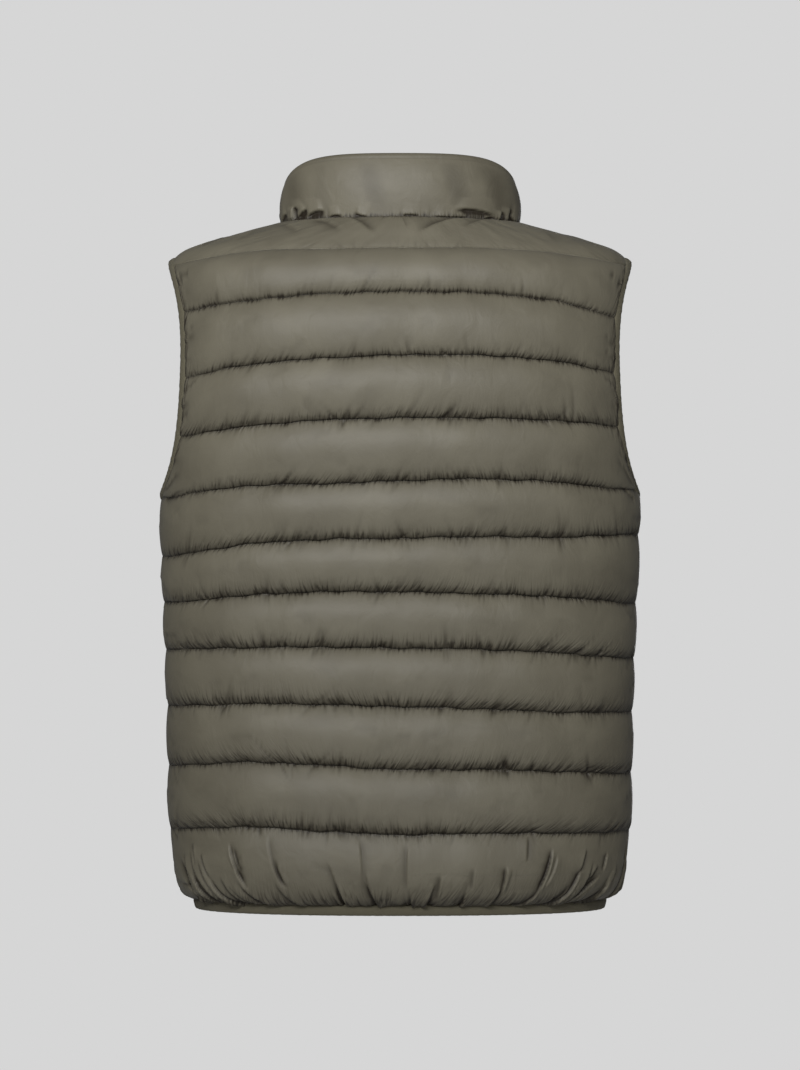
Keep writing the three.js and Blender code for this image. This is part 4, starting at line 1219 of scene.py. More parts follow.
def build_collar(material):
    """The collar in one wall: up its outer face, over the rolled edge and down its inner face."""
    angles, run = collar_angles()
    wall = piece_mm("collar_wall")
    radius = wall / 2
    outward = neck_outward(angles)
    high = collar_top(angles)[:, 2] - neck_point(angles)[:, 2] - COLLAR["foot_rise"]
    top_share = 1 - radius / high
    up = np.array([0, 0, 1.0])
    arc = run[None, :] + np.zeros((COLLAR_OUTER + 1, 1))
    even = warp(np.arange(COLLAR_OUTER + 1) / (COLLAR_OUTER * COLLAR_ROWS_PAST))
    even = even / even[-1]
    rise = even[:, None] * (top_share * high)[None, :]
    relief = collar_relief(arc, rise, angles, run)
    lines, ups = [], list(rise)
    for upward, folds in zip(even, relief):
        share = top_share * upward
        out = COLLAR["stand_proud"] * swell(share) + folds
        lines.append(collar_point(angles, share) + outward * out[:, None])
    crest = lines[-1]
    for k in range(1, COLLAR_TOP):
        turn = math.pi * k / COLLAR_TOP
        lines.append(crest + outward * (radius * (math.cos(turn) - 1)) + up * (radius * math.sin(turn)))
        ups.append(rise[-1] + radius * turn)
    for k in range(COLLAR_INNER + 1):
        downward = k / COLLAR_INNER
        share = top_share * (1 - downward)
        thick = COLLAR["seam_wall"] + (wall - COLLAR["seam_wall"]) * swell(share)
        blend = smooth((1 - downward) * 5 - 4)
        thick = thick * (1 - blend) + wall * blend
        ripple = wobble(97, run + 8 * downward, (23, 41, 67), 0.35) * swell(share)
        lines.append(collar_point(angles, share) - outward * (thick + ripple)[:, None])
        ups.append(rise[-1] * 2 + radius * math.pi - share * high)
    loop, ups = np.array(lines), np.array(ups)
    clear = np.sign(run)[None, :] * np.maximum(np.abs(loop[..., 0]), FRONT_EDGE)
    loop[..., 0] = np.where(loop[..., 1] > 0, clear, loop[..., 0])
    # Painted shade: the folds, and a little the rolled edge, are darkened through the crease mark, and the
    # foot through the seam mark.
    cavity = np.zeros_like(ups)
    cavity[:COLLAR_OUTER + 1] = cavity_of(COLLAR_FOLD_PAINTED_SHADE * relief)
    cavity[COLLAR_OUTER - 1:COLLAR_OUTER + COLLAR_TOP] += COLLAR_RIM_PAINTED_SHADE
    across = run[None, :] + np.zeros_like(ups)
    marks = {"seam": np.exp(-np.maximum(ups - 1, 0) / CRINKLES_AND_SHADE_BELOW), "crease": cavity, "hatch": across * MM}
    uv = np.stack([across, ups], axis=-1)
    piece = closed_piece("collar_cloth", loop, collar_faces(*ups.shape), material, uv, marks)
    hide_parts("collar")


def collar_relief(arc, rise, angles, run):
    """Folds, puckers and soft dents of the collar's outer face."""
    whole = rise[-1][None, :]
    share = rise / whole
    relief = wobble(91, arc + 0.25 * rise, (43, 71, 118, 190), 0.4) * swell(share)
    relief += line_puckers(903, arc, rise, True, 0) * 0.2
    for fold in COLLAR_FOLDS:
        place = float(np.interp(fold["angle"], angles, run))
        crease(relief, arc, rise, (place, fold["low"]), (place + fold["run"], fold["high"]), -fold["bow"],
               fold["depth"], fold["width"], side=-1 if fold["run"] > 0 else 1)
    return relief * smooth(rise / 1.5) * (1 - smooth(share * 8 - 7) * 0.7)


def collar_faces(rows, columns):
    """Faces round the collar's wall, its foot and both front ends."""
    ids = np.arange(rows * columns).reshape(rows, columns)
    faces = grid_faces(np.concatenate([ids, ids[:1]])).tolist()
    half = COLLAR_OUTER + COLLAR_TOP // 2
    for column in (0, -1):
        outer, inner = ids[:half + 1, column], ids[:half:-1, column]
        faces += lace(outer, inner, np.linspace(0, 1, len(outer)), np.linspace(0, 1, len(inner)))
    return faces


# ---- Bindings ------------------------------------------------------------------------------------

def binding_profile(width):
    """Cross-section of a binding folded round a raw edge: away from the cloth, and up from its outer face."""
    out, inside = piece_mm("binding_out"), piece_mm("binding_in")
    wall = quilt_mm("seam_wall")
    return np.array([
        (-2.4, out - 1.7),
        (-0.8, out - 0.6),
        (1.0, out - 0.1),
        (width * 0.4, out),
        (width * 0.7, out),
        (width * 0.87, out - 0.35),
        (width * 0.96, out * 0.5),
        (width, 0.0),
        (width + 0.1, -wall / 2),
        (width, -wall),
        (width * 0.92, -wall - inside * 0.55),
        (width * 0.75, -wall - inside + 0.25),
        (width * 0.5, -wall - inside),
        (width * 0.25, -wall - inside + 0.3),
        (-2.2, -wall - inside + 1.0),
    ])


ARMHOLE_STEPS, HEM_STEPS = 430, 720
STITCH_INSET, STITCH_SUNK = 1.9, 0.55  # of a binding's stitches, from its edge and into its cloth
RIPPLE_PITCHES = (9.5, 13.0, 5.8)


def facing(vectors, toward):
    """The same vectors, each turned round where it points away from its other one."""
    return vectors * np.sign(np.einsum("ij,ij->i", vectors, toward))[:, None]


def bind_edge(name, points, toward, closed, material, seed, node, width, straighten, proud):
    """A narrow elastic strip folded along an edge of the cloth. toward gives its side of the edge.

    straighten is the share of its own direction that it gives up for that side's, and proud is how far it
    stands off the cloth. Gives back the line of its stitches, and whether that is closed.
    """
    after, before = np.roll(points, -1, axis=0), np.roll(points, 1, axis=0)
    if not closed:
        after[-1], before[0] = points[-1], points[0]
    tangent = unit(after - before)
    outward = normals_at(points)
    away = facing(unit(np.cross(tangent, outward)), toward)
    away = unit(away * (1 - straighten) + toward * straighten)
    normal = unit(facing(np.cross(away, tangent), outward))
    run = run_along(points)
    length = run[-1] + (np.linalg.norm(points[0] - points[-1]) if closed else 0)
    turns = 2 * np.pi * run / length
    rng = np.random.default_rng(seed)
    ripple = np.zeros_like(run)
    for pitch in RIPPLE_PITCHES:
        ripple += np.sin(turns * round(length / pitch) + rng.uniform(0, 6.28) + 0.9 * np.sin(3 * turns)) / 3
    lines = []
    for step, (out_by, up_by) in enumerate(binding_profile(width)):
        outer_side = up_by > 0
        lift = up_by + proud + (0.22 if outer_side else 0.12) * ripple * (1 if step < 6 else 0.4)
        lines.append(points + away * (out_by + 0.12 * ripple)[:, None] + normal * lift[:, None])
    piece = strip(name, np.array(lines), material, closed)
    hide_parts(node)
    return points + away * STITCH_INSET + normal * (proud + piece_mm("binding_out") - STITCH_SUNK), closed


def evenly(points, count, closed):
    """Points spaced evenly along a line of points."""
    whole = np.concatenate([points, points[:1]]) if closed else points
    run = run_along(whole)
    at = np.linspace(0, run[-1], count + 1)[:-1] if closed else np.linspace(0, run[-1], count)
    return np.stack([np.interp(at, run, whole[:, axis]) for axis in range(3)], axis=-1)


def armhole_edge(side):
    turns = np.linspace(0, 2 * np.pi, 4001)[:-1]
    power = 2 / ARMHOLE["round"]
    cosine, sine = np.cos(turns), np.sin(turns)
    y = (ARMHOLE["half_depth"] + ARMHOLE_GROW) * np.sign(cosine) * np.abs(cosine) ** power
    z = ARMHOLE["z"] + (ARMHOLE["half_height"] + ARMHOLE_GROW) * np.sign(sine) * np.abs(sine) ** power
    return evenly(at_depth(y, z, side), ARMHOLE_STEPS, True)


def hem_edge():
    """The hem's edge, from beside the zip on the right, behind, and back to the zip."""
    start = math.pi - on_front_edge(HEM_Z)
    turns = np.linspace(start, -start, 3001)
    return evenly(on_torso(turns, np.full_like(turns, HEM_Z)), HEM_STEPS, False)


# ---- Zip -----------------------------------------------------------------------------------------

ZIP = {"tape_thick": 1.2, "tape_sunk": 1.0, "chain_half": 2.8, "chain_sunk": 0.35, "coils_start": 22}


def zip_line(count=340):
    """The zip's middle, on the outer cloth, from the collar's top edge down to the hem."""
    shares = np.linspace(1, 0.02, 60)
    upper = collar_point(np.full_like(shares, 180.0), shares)
    z = np.linspace(FIRST_LINE_Z, HEM_Z, 300)
    lower = np.stack([0 * z, section(z)[2], z], axis=-1)
    return evenly(np.concatenate([upper, lower]), count, False)


def build_tape(side, material):
    name = SIDE_NAMES[side]
    line = zip_line()
    run = run_along(line)
    near, far = ZIP["chain_half"] + SEWN_GAP, FRONT_EDGE - SEWN_GAP
    front, back = -ZIP["tape_sunk"], -ZIP["tape_sunk"] - ZIP["tape_thick"]
    wave = 0.10 * np.sin(run / 5.5) + 0.08 * np.sin(run / 3.1 + 1)
    lines = []
    for x, y in ((near, front - 0.2), (near + 0.5, front + 0.12), (near + 1.2, front), (far, front + 0.05),
                 (far, back), (near, back)):
        lines.append(line + np.stack([side * x + 0 * wave, y + wave * (y > back), 0 * wave], axis=-1))
    piece = strip("zip_tape_cloth_" + name, np.array(lines), material, False)
    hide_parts("zip_tape_" + name)


# ---- Repeated small pieces: stitches and coils, made with geometry nodes -------------------------

def add(tree, kind, values=None, **settings):
    """Adds a node, sets its properties, and gives its inputs their values or links them to other nodes.

    A node stands for its first output.
    """
    made = tree.nodes.new(kind)
    for key, value in settings.items():
        setattr(made, key, value)
    for key, value in (values or {}).items():
        value = value.outputs[0] if isinstance(value, bpy.types.Node) else value
        if isinstance(value, bpy.types.NodeSocket):
            tree.links.new(value, made.inputs[key])
        else:
            made.inputs[key].default_value = value
    return made


def beads_tree(name):
    """A tree that sets small rounded beads, one pitch apart, along every line that it is given."""
    tree = bpy.data.node_groups.new(name, "GeometryNodeTree")
    face = tree.interface
    face.new_socket("Lines", in_out="INPUT", socket_type="NodeSocketGeometry")
    for label in ("Pitch", "Length", "Thickness"):
        face.new_socket(label, in_out="INPUT", socket_type="NodeSocketFloat")
    face.new_socket("Material", in_out="INPUT", socket_type="NodeSocketMaterial")
    face.new_socket("Beads", in_out="OUTPUT", socket_type="NodeSocketGeometry")
    given = add(tree, "NodeGroupInput").outputs
    points = add(tree, "GeometryNodeCurveToPoints", {"Curve": given["Lines"], "Length": given["Pitch"]},
                 mode="LENGTH")
    bead = add(tree, "GeometryNodeMeshUVSphere", {"Segments": 6, "Rings": 4, "Radius": 0.5})
    size = add(tree, "ShaderNodeCombineXYZ", {
        "X": given["Thickness"], "Y": given["Thickness"], "Z": given["Length"]})
    placed = add(tree, "GeometryNodeInstanceOnPoints", {
        "Points": points, "Instance": bead, "Rotation": points.outputs["Rotation"], "Scale": size})
    real = add(tree, "GeometryNodeRealizeInstances", {"Geometry": placed})
    smooth_faces = add(tree, "GeometryNodeSetShadeSmooth", {"Geometry": real})
    coloured = add(tree, "GeometryNodeSetMaterial", {"Geometry": smooth_faces, "Material": given["Material"]})
    add(tree, "NodeGroupOutput", {"Beads": coloured})
    return tree


def beads(name, lines_mm, pitch, length, thickness, material):
    """A plain mesh of beads along lines given in millimetres. Each line may close on itself."""
    curve = bpy.data.curves.new(name + "_lines", "CURVE")
    curve.dimensions = "3D"
    for points, closed in lines_mm:
        spline = curve.splines.new("POLY")
        spline.points.add(len(points) - 1)
        flat = np.concatenate([np.asarray(points) * MM, np.ones((len(points), 1))], axis=1)
        spline.points.foreach_set("co", flat.astype(np.float32).ravel())
        spline.use_cyclic_u = closed
    holder = in_scene(name + "_lines", curve)
    tree = beads_tree(name + "_tree")
    modifier = holder.modifiers.new("Beads", "NODES")
    modifier.node_group = tree
    sockets = {item.name: item.identifier for item in tree.interface.items_tree if item.in_out == "INPUT"}
    for label, size in (("Pitch", pitch), ("Length", length), ("Thickness", thickness)):
        modifier[sockets[label]] = size * MM
    modifier[sockets["Material"]] = material
    evaluated = holder.evaluated_get(bpy.context.evaluated_depsgraph_get())
    mesh = bpy.data.meshes.new_from_object(evaluated)
    mesh.name = name
    bpy.data.objects.remove(holder)
    bpy.data.curves.remove(curve)
    bpy.data.node_groups.remove(tree)
    new_piece(name, mesh)


THREAD_PROUD = 0.12
ONE_EACH = 99  # a pitch longer than any coil, for one bead on each


def stitch_lines():
    """Every line of quilting on the outer cloth, a little above its surface."""
    lines = []
    for (channels, shares, base), _ in (back_base(), front_base(LEFT), front_base(RIGHT)):
        for row in np.nonzero((shares == 0) & (channels > 0))[0]:
            points = base[row, 3:-3]
            lines.append((points + normals_at(points) * THREAD_PROUD, False))
    return lines


def build_stitches(material):
    pitch, thread = quilt_mm("stitch_pitch"), quilt_mm("thread")
    beads("quilt_stitches", stitch_lines(), pitch, pitch * 0.78, thread, material)


def build_coils(material):
    """The zip's two rows of nylon coils, set so that each fills the gaps of the other."""
    pitch, half = piece_mm("tooth_pitch"), ZIP["chain_half"]
    line = zip_line(1400)
    line = line[line[:, 2] < line[0, 2] - ZIP["coils_start"]]
    dense = evenly(line, int(run_along(line)[-1] / (pitch / 2)), False)
    teeth = []
    for side, start in ((LEFT, 0), (RIGHT, 1)):
        for place in dense[start::2]:
            middle = place + np.array([side * 0.8, -ZIP["chain_sunk"], 0])
            reach = np.array([half * 0.62, 0, 0.1 * side])
            teeth.append((np.array([middle, middle + reach]), False))
    beads("zip_coils", teeth, ONE_EACH, half * 1.3, pitch * 0.62, material)


# ---- Materials -----------------------------------------------------------------------------------

def new_material(name):
    material = bpy.data.materials.new(name)
    material.use_nodes = True
    material.node_tree.nodes.clear()
    return material, material.node_tree


# Inputs 1 to 4 of a Map Range node are the low and high ends that it maps from, and those that it maps to.
# Inputs 6 and 7 of a Mix node are its two colours, and its output 2 is the mixed colour.

def cloth_place(tree, across_mm, down_mm, leaning=False):
    """The piece's own cloth coordinates, counted in patterns of the given size. Leaning ones slant as the
    puckers beside the stitches do."""
    place = add(tree, "ShaderNodeUVMap", uv_map="UVMap")
    if leaning:
        across = add(tree, "ShaderNodeAttribute", attribute_name="hatch")
        parts = add(tree, "ShaderNodeSeparateXYZ", {0: place})
        place = add(tree, "ShaderNodeCombineXYZ", {0: across.outputs["Fac"], 1: parts.outputs[1]})
    return add(tree, "ShaderNodeMapping", {
        "Vector": place, "Scale": (1 / across_mm / MM, 1 / down_mm / MM, 1)})


def satin_nylon():
    """Calendered nylon taffeta: a soft, slightly waxy sheen, fine crinkles that gather at the stitches, a
    weave that is only just visible, and painted shade in its folds and beside its seams."""
    colours = bpy.context.scene.vest_colours
    material, tree = new_material("satin_nylon_taffeta")
    patch = add(tree, "ShaderNodeTexNoise", {
        "Vector": cloth_place(tree, 75, 45), "Scale": 1.0, "Detail": 3.0, "Roughness": 0.55,
        "Distortion": 0.6})
    spread = add(tree, "ShaderNodeMapRange", {"Value": patch, 1: 0.3, 2: 0.7})
    tone = add(tree, "ShaderNodeMix", {
        0: spread, 6: (*colours.shell_dark, 1), 7: (*colours.shell, 1)}, data_type="RGBA")
    # Painted shade: the cloth is darker, in a ragged band, in the last millimetres beside a seam, where the
    # puckered groove lies in shadow.
    seam = add(tree, "ShaderNodeAttribute", attribute_name="seam").outputs["Fac"]
    ragged = add(tree, "ShaderNodeTexNoise", {
        "Vector": cloth_place(tree, 3.0, 16, leaning=True), "Scale": 1.0, "Detail": 3.0, "Roughness": 0.6})
    uneven = add(tree, "ShaderNodeMapRange", {"Value": ragged, 1: 0.3, 2: 0.7, 3: 0.62, 4: 1.22})
    near = add(tree, "ShaderNodeMath", {0: seam, 1: uneven}, operation="MULTIPLY")
    beside = add(tree, "ShaderNodeMath", {0: near, 1: 2.0}, operation="POWER")
    band = add(tree, "ShaderNodeMapRange", {"Value": near, 1: 0.25, 2: 0.5, 3: 0.0, 4: 0.38})
    close = add(tree, "ShaderNodeMath", {0: beside, 1: band}, operation="MAXIMUM")
    # Crinkles about 2 mm apart run away from the stitches and die out with them. The same noise gives their
    # bump and painted shade in their valleys.
    crinkle = add(tree, "ShaderNodeTexNoise", {
        "Vector": cloth_place(tree, 2.3, 21, leaning=True), "Scale": 1.0, "Detail": 2.5, "Roughness": 0.5,
        "Distortion": 0.25})
    valley = add(tree, "ShaderNodeMapRange", {"Value": crinkle, 1: 0.41, 2: 0.48, 3: 1.0, 4: 0.0})
    reach = add(tree, "ShaderNodeMapRange", {"Value": seam, 1: 0.12, 2: 0.42, 3: 0.0, 4: 0.52})
    lines = add(tree, "ShaderNodeMath", {0: valley, 1: reach}, operation="MULTIPLY")
    # Painted shade: the colour is mixed towards the dark fold tone in creases, in the crinkles' valleys and
    # beside the seams.
    crease = add(tree, "ShaderNodeAttribute", attribute_name="crease").outputs["Fac"]
    folds = add(tree, "ShaderNodeMath", {0: crease, 1: lines}, operation="MAXIMUM")
    both = add(tree, "ShaderNodeMath", {0: close, 1: folds}, operation="ADD")
    painted_shade = add(tree, "ShaderNodeMapRange", {"Value": both, 3: 0.0, 4: 0.95})
    shaded = add(tree, "ShaderNodeMix", {
        0: painted_shade, 6: tone.outputs[2], 7: (*colours.shell_painted_fold_shade, 1)}, data_type="RGBA")
    # Threads are 0.12 mm apart; the weave is drawn ten times as coarse so that it shows at all.
    weave = add(tree, "ShaderNodeTexChecker", {"Vector": cloth_place(tree, 1.2, 1.2), "Scale": 1.0})
    speckle = add(tree, "ShaderNodeTexNoise", {
        "Vector": cloth_place(tree, 1.6, 1.1), "Scale": 1.0, "Detail": 2.0})
    soft = add(tree, "ShaderNodeTexNoise", {
        "Vector": cloth_place(tree, 16, 22), "Scale": 1.0, "Detail": 4.0, "Roughness": 0.5,
        "Distortion": 0.9})
    crinkled = add(tree, "ShaderNodeMath", {0: crinkle, 1: seam}, operation="MULTIPLY")
    # Relief in layers, each with its strength and its depth in millimetres.
    relief = {}
    for height, strength, depth in ((soft, 0.45, 1.5), (crinkled, 1.0, 2.6), (speckle, 0.16, 0.25),
                                    (weave.outputs["Fac"], 0.05, 0.1)):
        relief["Normal"] = add(tree, "ShaderNodeBump", {
            "Height": height, "Strength": strength, "Distance": depth * MM, **relief})
    rough = add(tree, "ShaderNodeMapRange", {"Value": speckle, 3: 0.5, 4: 0.6})
    shader = add(tree, "ShaderNodeBsdfPrincipled", {
        "Base Color": shaded.outputs[2], "Roughness": rough, "IOR": 1.5, "Sheen Weight": 0.05,
        "Sheen Roughness": 0.4, "Specular IOR Level": 0.5, **relief})
    add(tree, "ShaderNodeOutputMaterial", {"Surface": shader})
    return material


def elastic_binding():
    """Knitted elastic tape: matte, with fine ribs across it that stretch and bunch."""
    colours = bpy.context.scene.vest_colours
    material, tree = new_material("knitted_elastic_tape")
    ribs = add(tree, "ShaderNodeTexWave", {
        "Vector": cloth_place(tree, 1.5, 40), "Scale": 1.0, "Distortion": 0.8, "Detail": 1.0},
        wave_type="BANDS", bands_direction="X")
    fuzz = add(tree, "ShaderNodeTexNoise", {
        "Vector": cloth_place(tree, 1.1, 0.9), "Scale": 1.0, "Detail": 3.0})
    shade = add(tree, "ShaderNodeMapRange", {"Value": fuzz, 3: 0.86, 4: 1.12})
    tone = add(tree, "ShaderNodeVectorMath", {0: colours.binding, "Scale": shade}, operation="SCALE")
    ribbed = add(tree, "ShaderNodeBump", {
        "Height": ribs.outputs["Fac"], "Strength": 0.5, "Distance": 0.35 * MM})
    relief = add(tree, "ShaderNodeBump", {
        "Height": fuzz, "Strength": 0.35, "Distance": 0.25 * MM, "Normal": ribbed})
    shader = add(tree, "ShaderNodeBsdfPrincipled", {
        "Base Color": tone, "Roughness": 0.72, "Normal": relief, "IOR": 1.5, "Sheen Weight": 0.05,
        "Sheen Roughness": 0.5, "Specular IOR Level": 0.3})
    add(tree, "ShaderNodeOutputMaterial", {"Surface": shader})
    return material


def woven_tape():
    """Woven polyester zip tape: matte, in a small herringbone."""
    colours = bpy.context.scene.vest_colours
    material, tree = new_material("woven_polyester_tape")
    twill = add(tree, "ShaderNodeTexWave", {
        "Vector": cloth_place(tree, 1.4, 1.4), "Scale": 1.0, "Distortion": 1.2, "Detail": 1.0},
        wave_type="BANDS", bands_direction="DIAGONAL").outputs["Fac"]
    shade = add(tree, "ShaderNodeMapRange", {"Value": twill, 3: 0.85, 4: 1.1})
    tone = add(tree, "ShaderNodeVectorMath", {0: colours.tape, "Scale": shade}, operation="SCALE")
    relief = add(tree, "ShaderNodeBump", {"Height": twill, "Strength": 0.5, "Distance": 0.25 * MM})
    shader = add(tree, "ShaderNodeBsdfPrincipled", {
        "Base Color": tone, "Roughness": 0.8, "Normal": relief, "IOR": 1.5, "Sheen Weight": 0.15,
        "Sheen Roughness": 0.5})
    add(tree, "ShaderNodeOutputMaterial", {"Surface": shader})
    return material


def plain_surface(name, colour, rough_low, rough_high, grain_mm, bump_mm, **shader_values):
    """A moulded, spun or painted surface: one colour with fine variation in tone, gloss and relief."""
    material, tree = new_material(name)
    place = add(tree, "ShaderNodeTexCoord").outputs["Object"]
    grain = add(tree, "ShaderNodeTexNoise", {"Vector": place, "Scale": 1 / (grain_mm * MM), "Detail": 4.0})
    shade = add(tree, "ShaderNodeMapRange", {"Value": grain, 3: 0.84, 4: 1.14})
    tone = add(tree, "ShaderNodeVectorMath", {0: colour, "Scale": shade}, operation="SCALE")
    rough = add(tree, "ShaderNodeMapRange", {"Value": grain, 3: rough_low, 4: rough_high})
    relief = add(tree, "ShaderNodeBump", {"Height": grain, "Strength": 0.3, "Distance": bump_mm * MM})
    shader = add(tree, "ShaderNodeBsdfPrincipled", {
        "Base Color": tone, "Roughness": rough, "Normal": relief, **shader_values})
    add(tree, "ShaderNodeOutputMaterial", {"Surface": shader})
    return material


def material_of(name):
    """A material by its plain name, made when it is first asked for."""
    if name in bpy.data.materials:
        return bpy.data.materials[name]
    colours = bpy.context.scene.vest_colours
    makers = {
        "satin_nylon_taffeta": satin_nylon,
        "knitted_elastic_tape": elastic_binding,
        "woven_polyester_tape": woven_tape,
        # Spun polyester thread: a little duller and darker than the cloth.
        "spun_polyester_thread": lambda: plain_surface(
            "spun_polyester_thread", colours.thread, 0.6, 0.8, 0.8, 0.05, **{"Sheen Weight": 0.2}),
        # Moulded nylon monofilament: smooth, with a waxy shine.
        "nylon_monofilament": lambda: plain_surface(
            "nylon_monofilament", colours.coil, 0.28, 0.42, 2.0, 0.03, IOR=1.53),
        # Die-cast zinc, sprayed with matt enamel: almost smooth, with a thin clear shine at the edges.
        "enamelled_zinc": lambda: plain_surface(
            "enamelled_zinc", colours.metal, 0.32, 0.46, 1.2, 0.04,
            **{"IOR": 1.5, "Coat Weight": 0.3, "Coat Roughness": 0.25}),
        # Painted plaster of a studio floor: even and matt.
        "studio_paint": lambda: plain_surface("studio_paint", colours.floor, 0.85, 0.95, 40.0, 0.2),
    }
    return makers[name]()


# ---- Carried-over and bevelled metal -------------------------------------------------------------

EDGE_ROUNDING = 0.22


def bevelled_copy(node, name, body, material):
    """A copy of a CAD piece with its edges rounded."""
    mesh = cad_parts[node].data.copy()
    shape = bmesh.new()
    shape.from_mesh(mesh)
    bmesh.ops.remove_doubles(shape, verts=shape.verts, dist=0.01 * MM)
    bmesh.ops.dissolve_limit(shape, angle_limit=math.radians(2), verts=shape.verts, edges=shape.edges)
    bmesh.ops.recalc_face_normals(shape, faces=shape.faces)
    shape.to_mesh(mesh)
    shape.free()
    mesh.materials.clear()
    mesh.materials.append(material)
    mesh.name = name
    piece = new_piece(name, mesh, body)
    bevel = piece.modifiers.new("Rounded edges", "BEVEL")
    bevel.width = EDGE_ROUNDING * MM
    bevel.segments = 3
    bevel.limit_method = "ANGLE"
    bevel.angle_limit = math.radians(35)
    bevel.harden_normals = True
    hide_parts(node)


# ---- Stage ---------------------------------------------------------------------------------------

VIEW_MIDDLE = (0.0, -0.317)
CAMERA_AWAY = 4.5
VIEW_HEIGHT = 1.07
SENSOR = 36.0
FLOOR_Z, FLOOR_RADIUS = -1.25, 2.6
VEST_MIDDLE = (0, 0, -0.32)

# Name, place, what it shines at, width and height in metres, watts, and spread in degrees.
LIGHTS = (
    ("key", (-0.5, -2.6, 0.95), (0, 0, 0.24), (2.3, 0.9), 14.9, 72),
    ("bounce", (-0.2, -1.5, -1.15), (0, 0, -0.45), (1.8, 0.5), 4.0, 180),
    ("fill", (2.3, -2.9, 0.2), VEST_MIDDLE, (1.6, 2.0), 2.6, 180),
    ("top", (0, -0.3, 2.4), VEST_MIDDLE, (1.8, 1.8), 1.6, 180),
    ("behind", (0.3, 3.9, -0.2), VEST_MIDDLE, (1.9, 1.5), 55, 180),
)


def area_light(name, place, aim, size, power, spread):
    lamp = bpy.data.lights.new(name, "AREA")
    lamp.shape = "RECTANGLE"
    lamp.size, lamp.size_y = size
    lamp.energy = power
    lamp.spread = math.radians(spread)
    holder = in_scene(name, lamp)
    holder.location = place
    holder.rotation_euler = (Vector(aim) - Vector(place)).to_track_quat("-Z", "Y").to_euler()


def studio_world():
    """Even, pale surroundings that give the vest only a low, soft fill."""
    world = bpy.data.worlds.new("studio_world")
    world.use_nodes = True
    tree = world.node_tree
    tree.nodes.clear()
    seen = add(tree, "ShaderNodeBackground", {"Color": (*linear("#d6d6d6"), 1), "Strength": 1.0})
    fill = add(tree, "ShaderNodeBackground", {"Color": (*linear("#eef0f4"), 1), "Strength": 0.1})
    path = add(tree, "ShaderNodeLightPath")
    mixed = add(tree, "ShaderNodeMixShader", {0: path.outputs["Is Camera Ray"], 1: fill, 2: seen})
    add(tree, "ShaderNodeOutputWorld", {"Surface": mixed})
    bpy.context.scene.world = world


def build_stage():
    scene = bpy.context.scene
    lens = bpy.data.cameras.new("camera")
    lens.sensor_fit = "VERTICAL"
    lens.sensor_height = SENSOR
    lens.lens = SENSOR * CAMERA_AWAY / VIEW_HEIGHT
    camera = in_scene("camera", lens)
    camera.location = (VIEW_MIDDLE[0], -CAMERA_AWAY, VIEW_MIDDLE[1])
    camera.rotation_euler = (math.pi / 2, 0, 0)
    scene.camera = camera
    scene.view_settings.view_transform = "Standard"
    studio_world()
    for light in LIGHTS:
        area_light(*light)
    mesh = bpy.data.meshes.new("studio_floor")
    shape = bmesh.new()
    bmesh.ops.create_circle(shape, cap_ends=True, segments=96, radius=FLOOR_RADIUS)
    for corner in shape.verts:
        corner.co.z = FLOOR_Z
    shape.to_mesh(mesh)
    shape.free()
    mesh.materials.append(material_of("studio_paint"))
    floor = in_scene("studio_floor", mesh)


# ---- Operators -----------------------------------------------------------------------------------

class VEST_OT_quilted_panels(bpy.types.Operator):
    """Make the quilted back and both fronts"""
    bl_idname = "vest.quilted_panels"
    bl_label = "Quilted Panels"

    def execute(self, context):
        shell = material_of("satin_nylon_taffeta")
        build_back(shell)
        build_front(LEFT, shell)
        build_front(RIGHT, shell)
        return {"FINISHED"}


class VEST_OT_yoke(bpy.types.Operator):
    """Make the plain yoke over the shoulders"""
    bl_idname = "vest.yoke"
    bl_label = "Yoke"

    def execute(self, context):
        build_yoke(material_of("satin_nylon_taffeta"))
        return {"FINISHED"}


class VEST_OT_collar(bpy.types.Operator):
    """Make the padded stand collar"""
    bl_idname = "vest.collar"
    bl_label = "Collar"

    def execute(self, context):
        build_collar(material_of("satin_nylon_taffeta"))
        return {"FINISHED"}


class VEST_OT_bindings(bpy.types.Operator):
    """Make the elastic bindings of the armholes and the hem, with their stitches"""
    bl_idname = "vest.bindings"
    bl_label = "Bindings"

    def execute(self, context):
        elastic = material_of("knitted_elastic_tape")
        rows = []
        for side, name in SIDE_NAMES.items():
            points = armhole_edge(side)
            toward = np.stack([0 * points[:, 0], -points[:, 1], ARMHOLE["z"] - points[:, 2]], axis=-1)
            rows.append(bind_edge("armhole_elastic_" + name, points, toward, True, elastic, 7 + side,
                                  "armhole_binding_" + name, piece_mm("armhole_width"), 0.0, -0.7))
        points = hem_edge()
        down = np.zeros_like(points) - (0, 0, 1)
        rows.append(bind_edge("hem_elastic", points, down, False, elastic, 3, "hem_binding",
                              piece_mm("binding_width"), 0.7, 1.2))
        pitch, thread = quilt_mm("stitch_pitch"), quilt_mm("thread")
        beads("binding_stitches", rows, pitch * 0.8, pitch * 0.6, thread,
              material_of("spun_polyester_thread"))
        return {"FINISHED"}


class VEST_OT_quilt_stitches(bpy.types.Operator):
    """Sew the lines of quilting"""
    bl_idname = "vest.quilt_stitches"
    bl_label = "Quilting Stitches"

    def execute(self, context):
        build_stitches(material_of("spun_polyester_thread"))
        return {"FINISHED"}


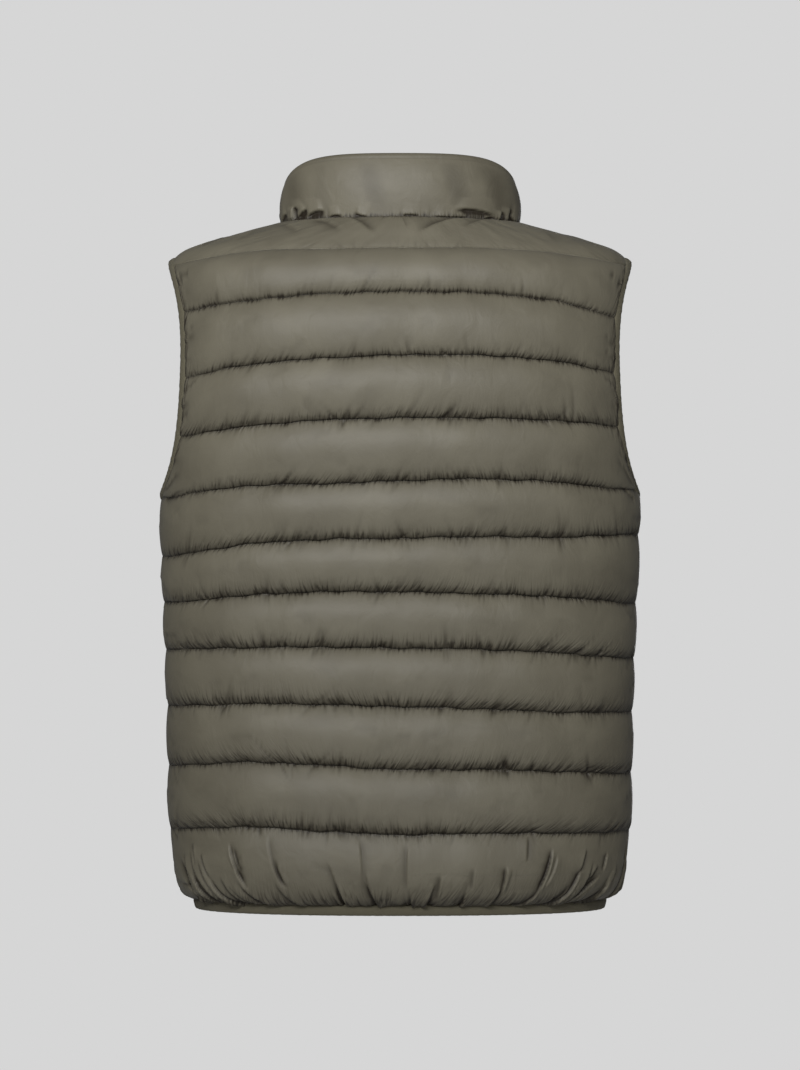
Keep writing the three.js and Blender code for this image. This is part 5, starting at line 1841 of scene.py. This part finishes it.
class VEST_OT_zip(bpy.types.Operator):
    """Make the front zip: its tapes, coils, slider and pull"""
    bl_idname = "vest.zip"
    bl_label = "Zip"

    def execute(self, context):
        for side in SIDE_NAMES:
            build_tape(side, material_of("woven_polyester_tape"))
        coil = material_of("nylon_monofilament")
        build_coils(coil)
        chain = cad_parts["zip_chain"]
        for slot in chain.material_slots:
            slot.material = coil
        metal = material_of("enamelled_zinc")
        bevelled_copy("zip_slider", "slider_enamelled", "garment", metal)
        bevelled_copy("zip_pull", "pull_enamelled", "pull", metal)
        return {"FINISHED"}


class VEST_OT_stage(bpy.types.Operator):
    """Set up the camera, the lights and the floor"""
    bl_idname = "vest.stage"
    bl_label = "Studio Stage"

    def execute(self, context):
        build_stage()
        return {"FINISHED"}


OPERATORS = (VEST_OT_stage, VEST_OT_quilted_panels, VEST_OT_yoke, VEST_OT_collar, VEST_OT_bindings,
             VEST_OT_quilt_stitches, VEST_OT_zip)


class VEST_PT_sidebar(bpy.types.Panel):
    """The vest's sizes, colours and pieces"""
    bl_idname = "VEST_PT_sidebar"
    bl_label = "Quilted Vest"
    bl_space_type = "VIEW_3D"
    bl_region_type = "UI"
    bl_category = "Vest"

    def draw(self, context):
        scene = context.scene
        for group in (scene.vest_quilt, scene.vest_pieces, scene.vest_colours):
            box = self.layout.box()
            for name in type(group).__annotations__:
                box.prop(group, name)
        for operator in OPERATORS:
            self.layout.operator(operator.bl_idname)


CLASSES = (QuiltSizes, PieceSizes, VestColours, *OPERATORS, VEST_PT_sidebar)


def register():
    for made in CLASSES:
        bpy.utils.register_class(made)
    bpy.types.Scene.vest_quilt = PointerProperty(type=QuiltSizes)
    bpy.types.Scene.vest_pieces = PointerProperty(type=PieceSizes)
    bpy.types.Scene.vest_colours = PointerProperty(type=VestColours)


def unregister():
    del bpy.types.Scene.vest_quilt
    del bpy.types.Scene.vest_pieces
    del bpy.types.Scene.vest_colours
    for made in reversed(CLASSES):
        bpy.utils.unregister_class(made)


def main():
    register()
    for operator in OPERATORS:
        area, name = operator.bl_idname.split(".")
        getattr(getattr(bpy.ops, area), name)()


if __name__ == "__main__":
    main()
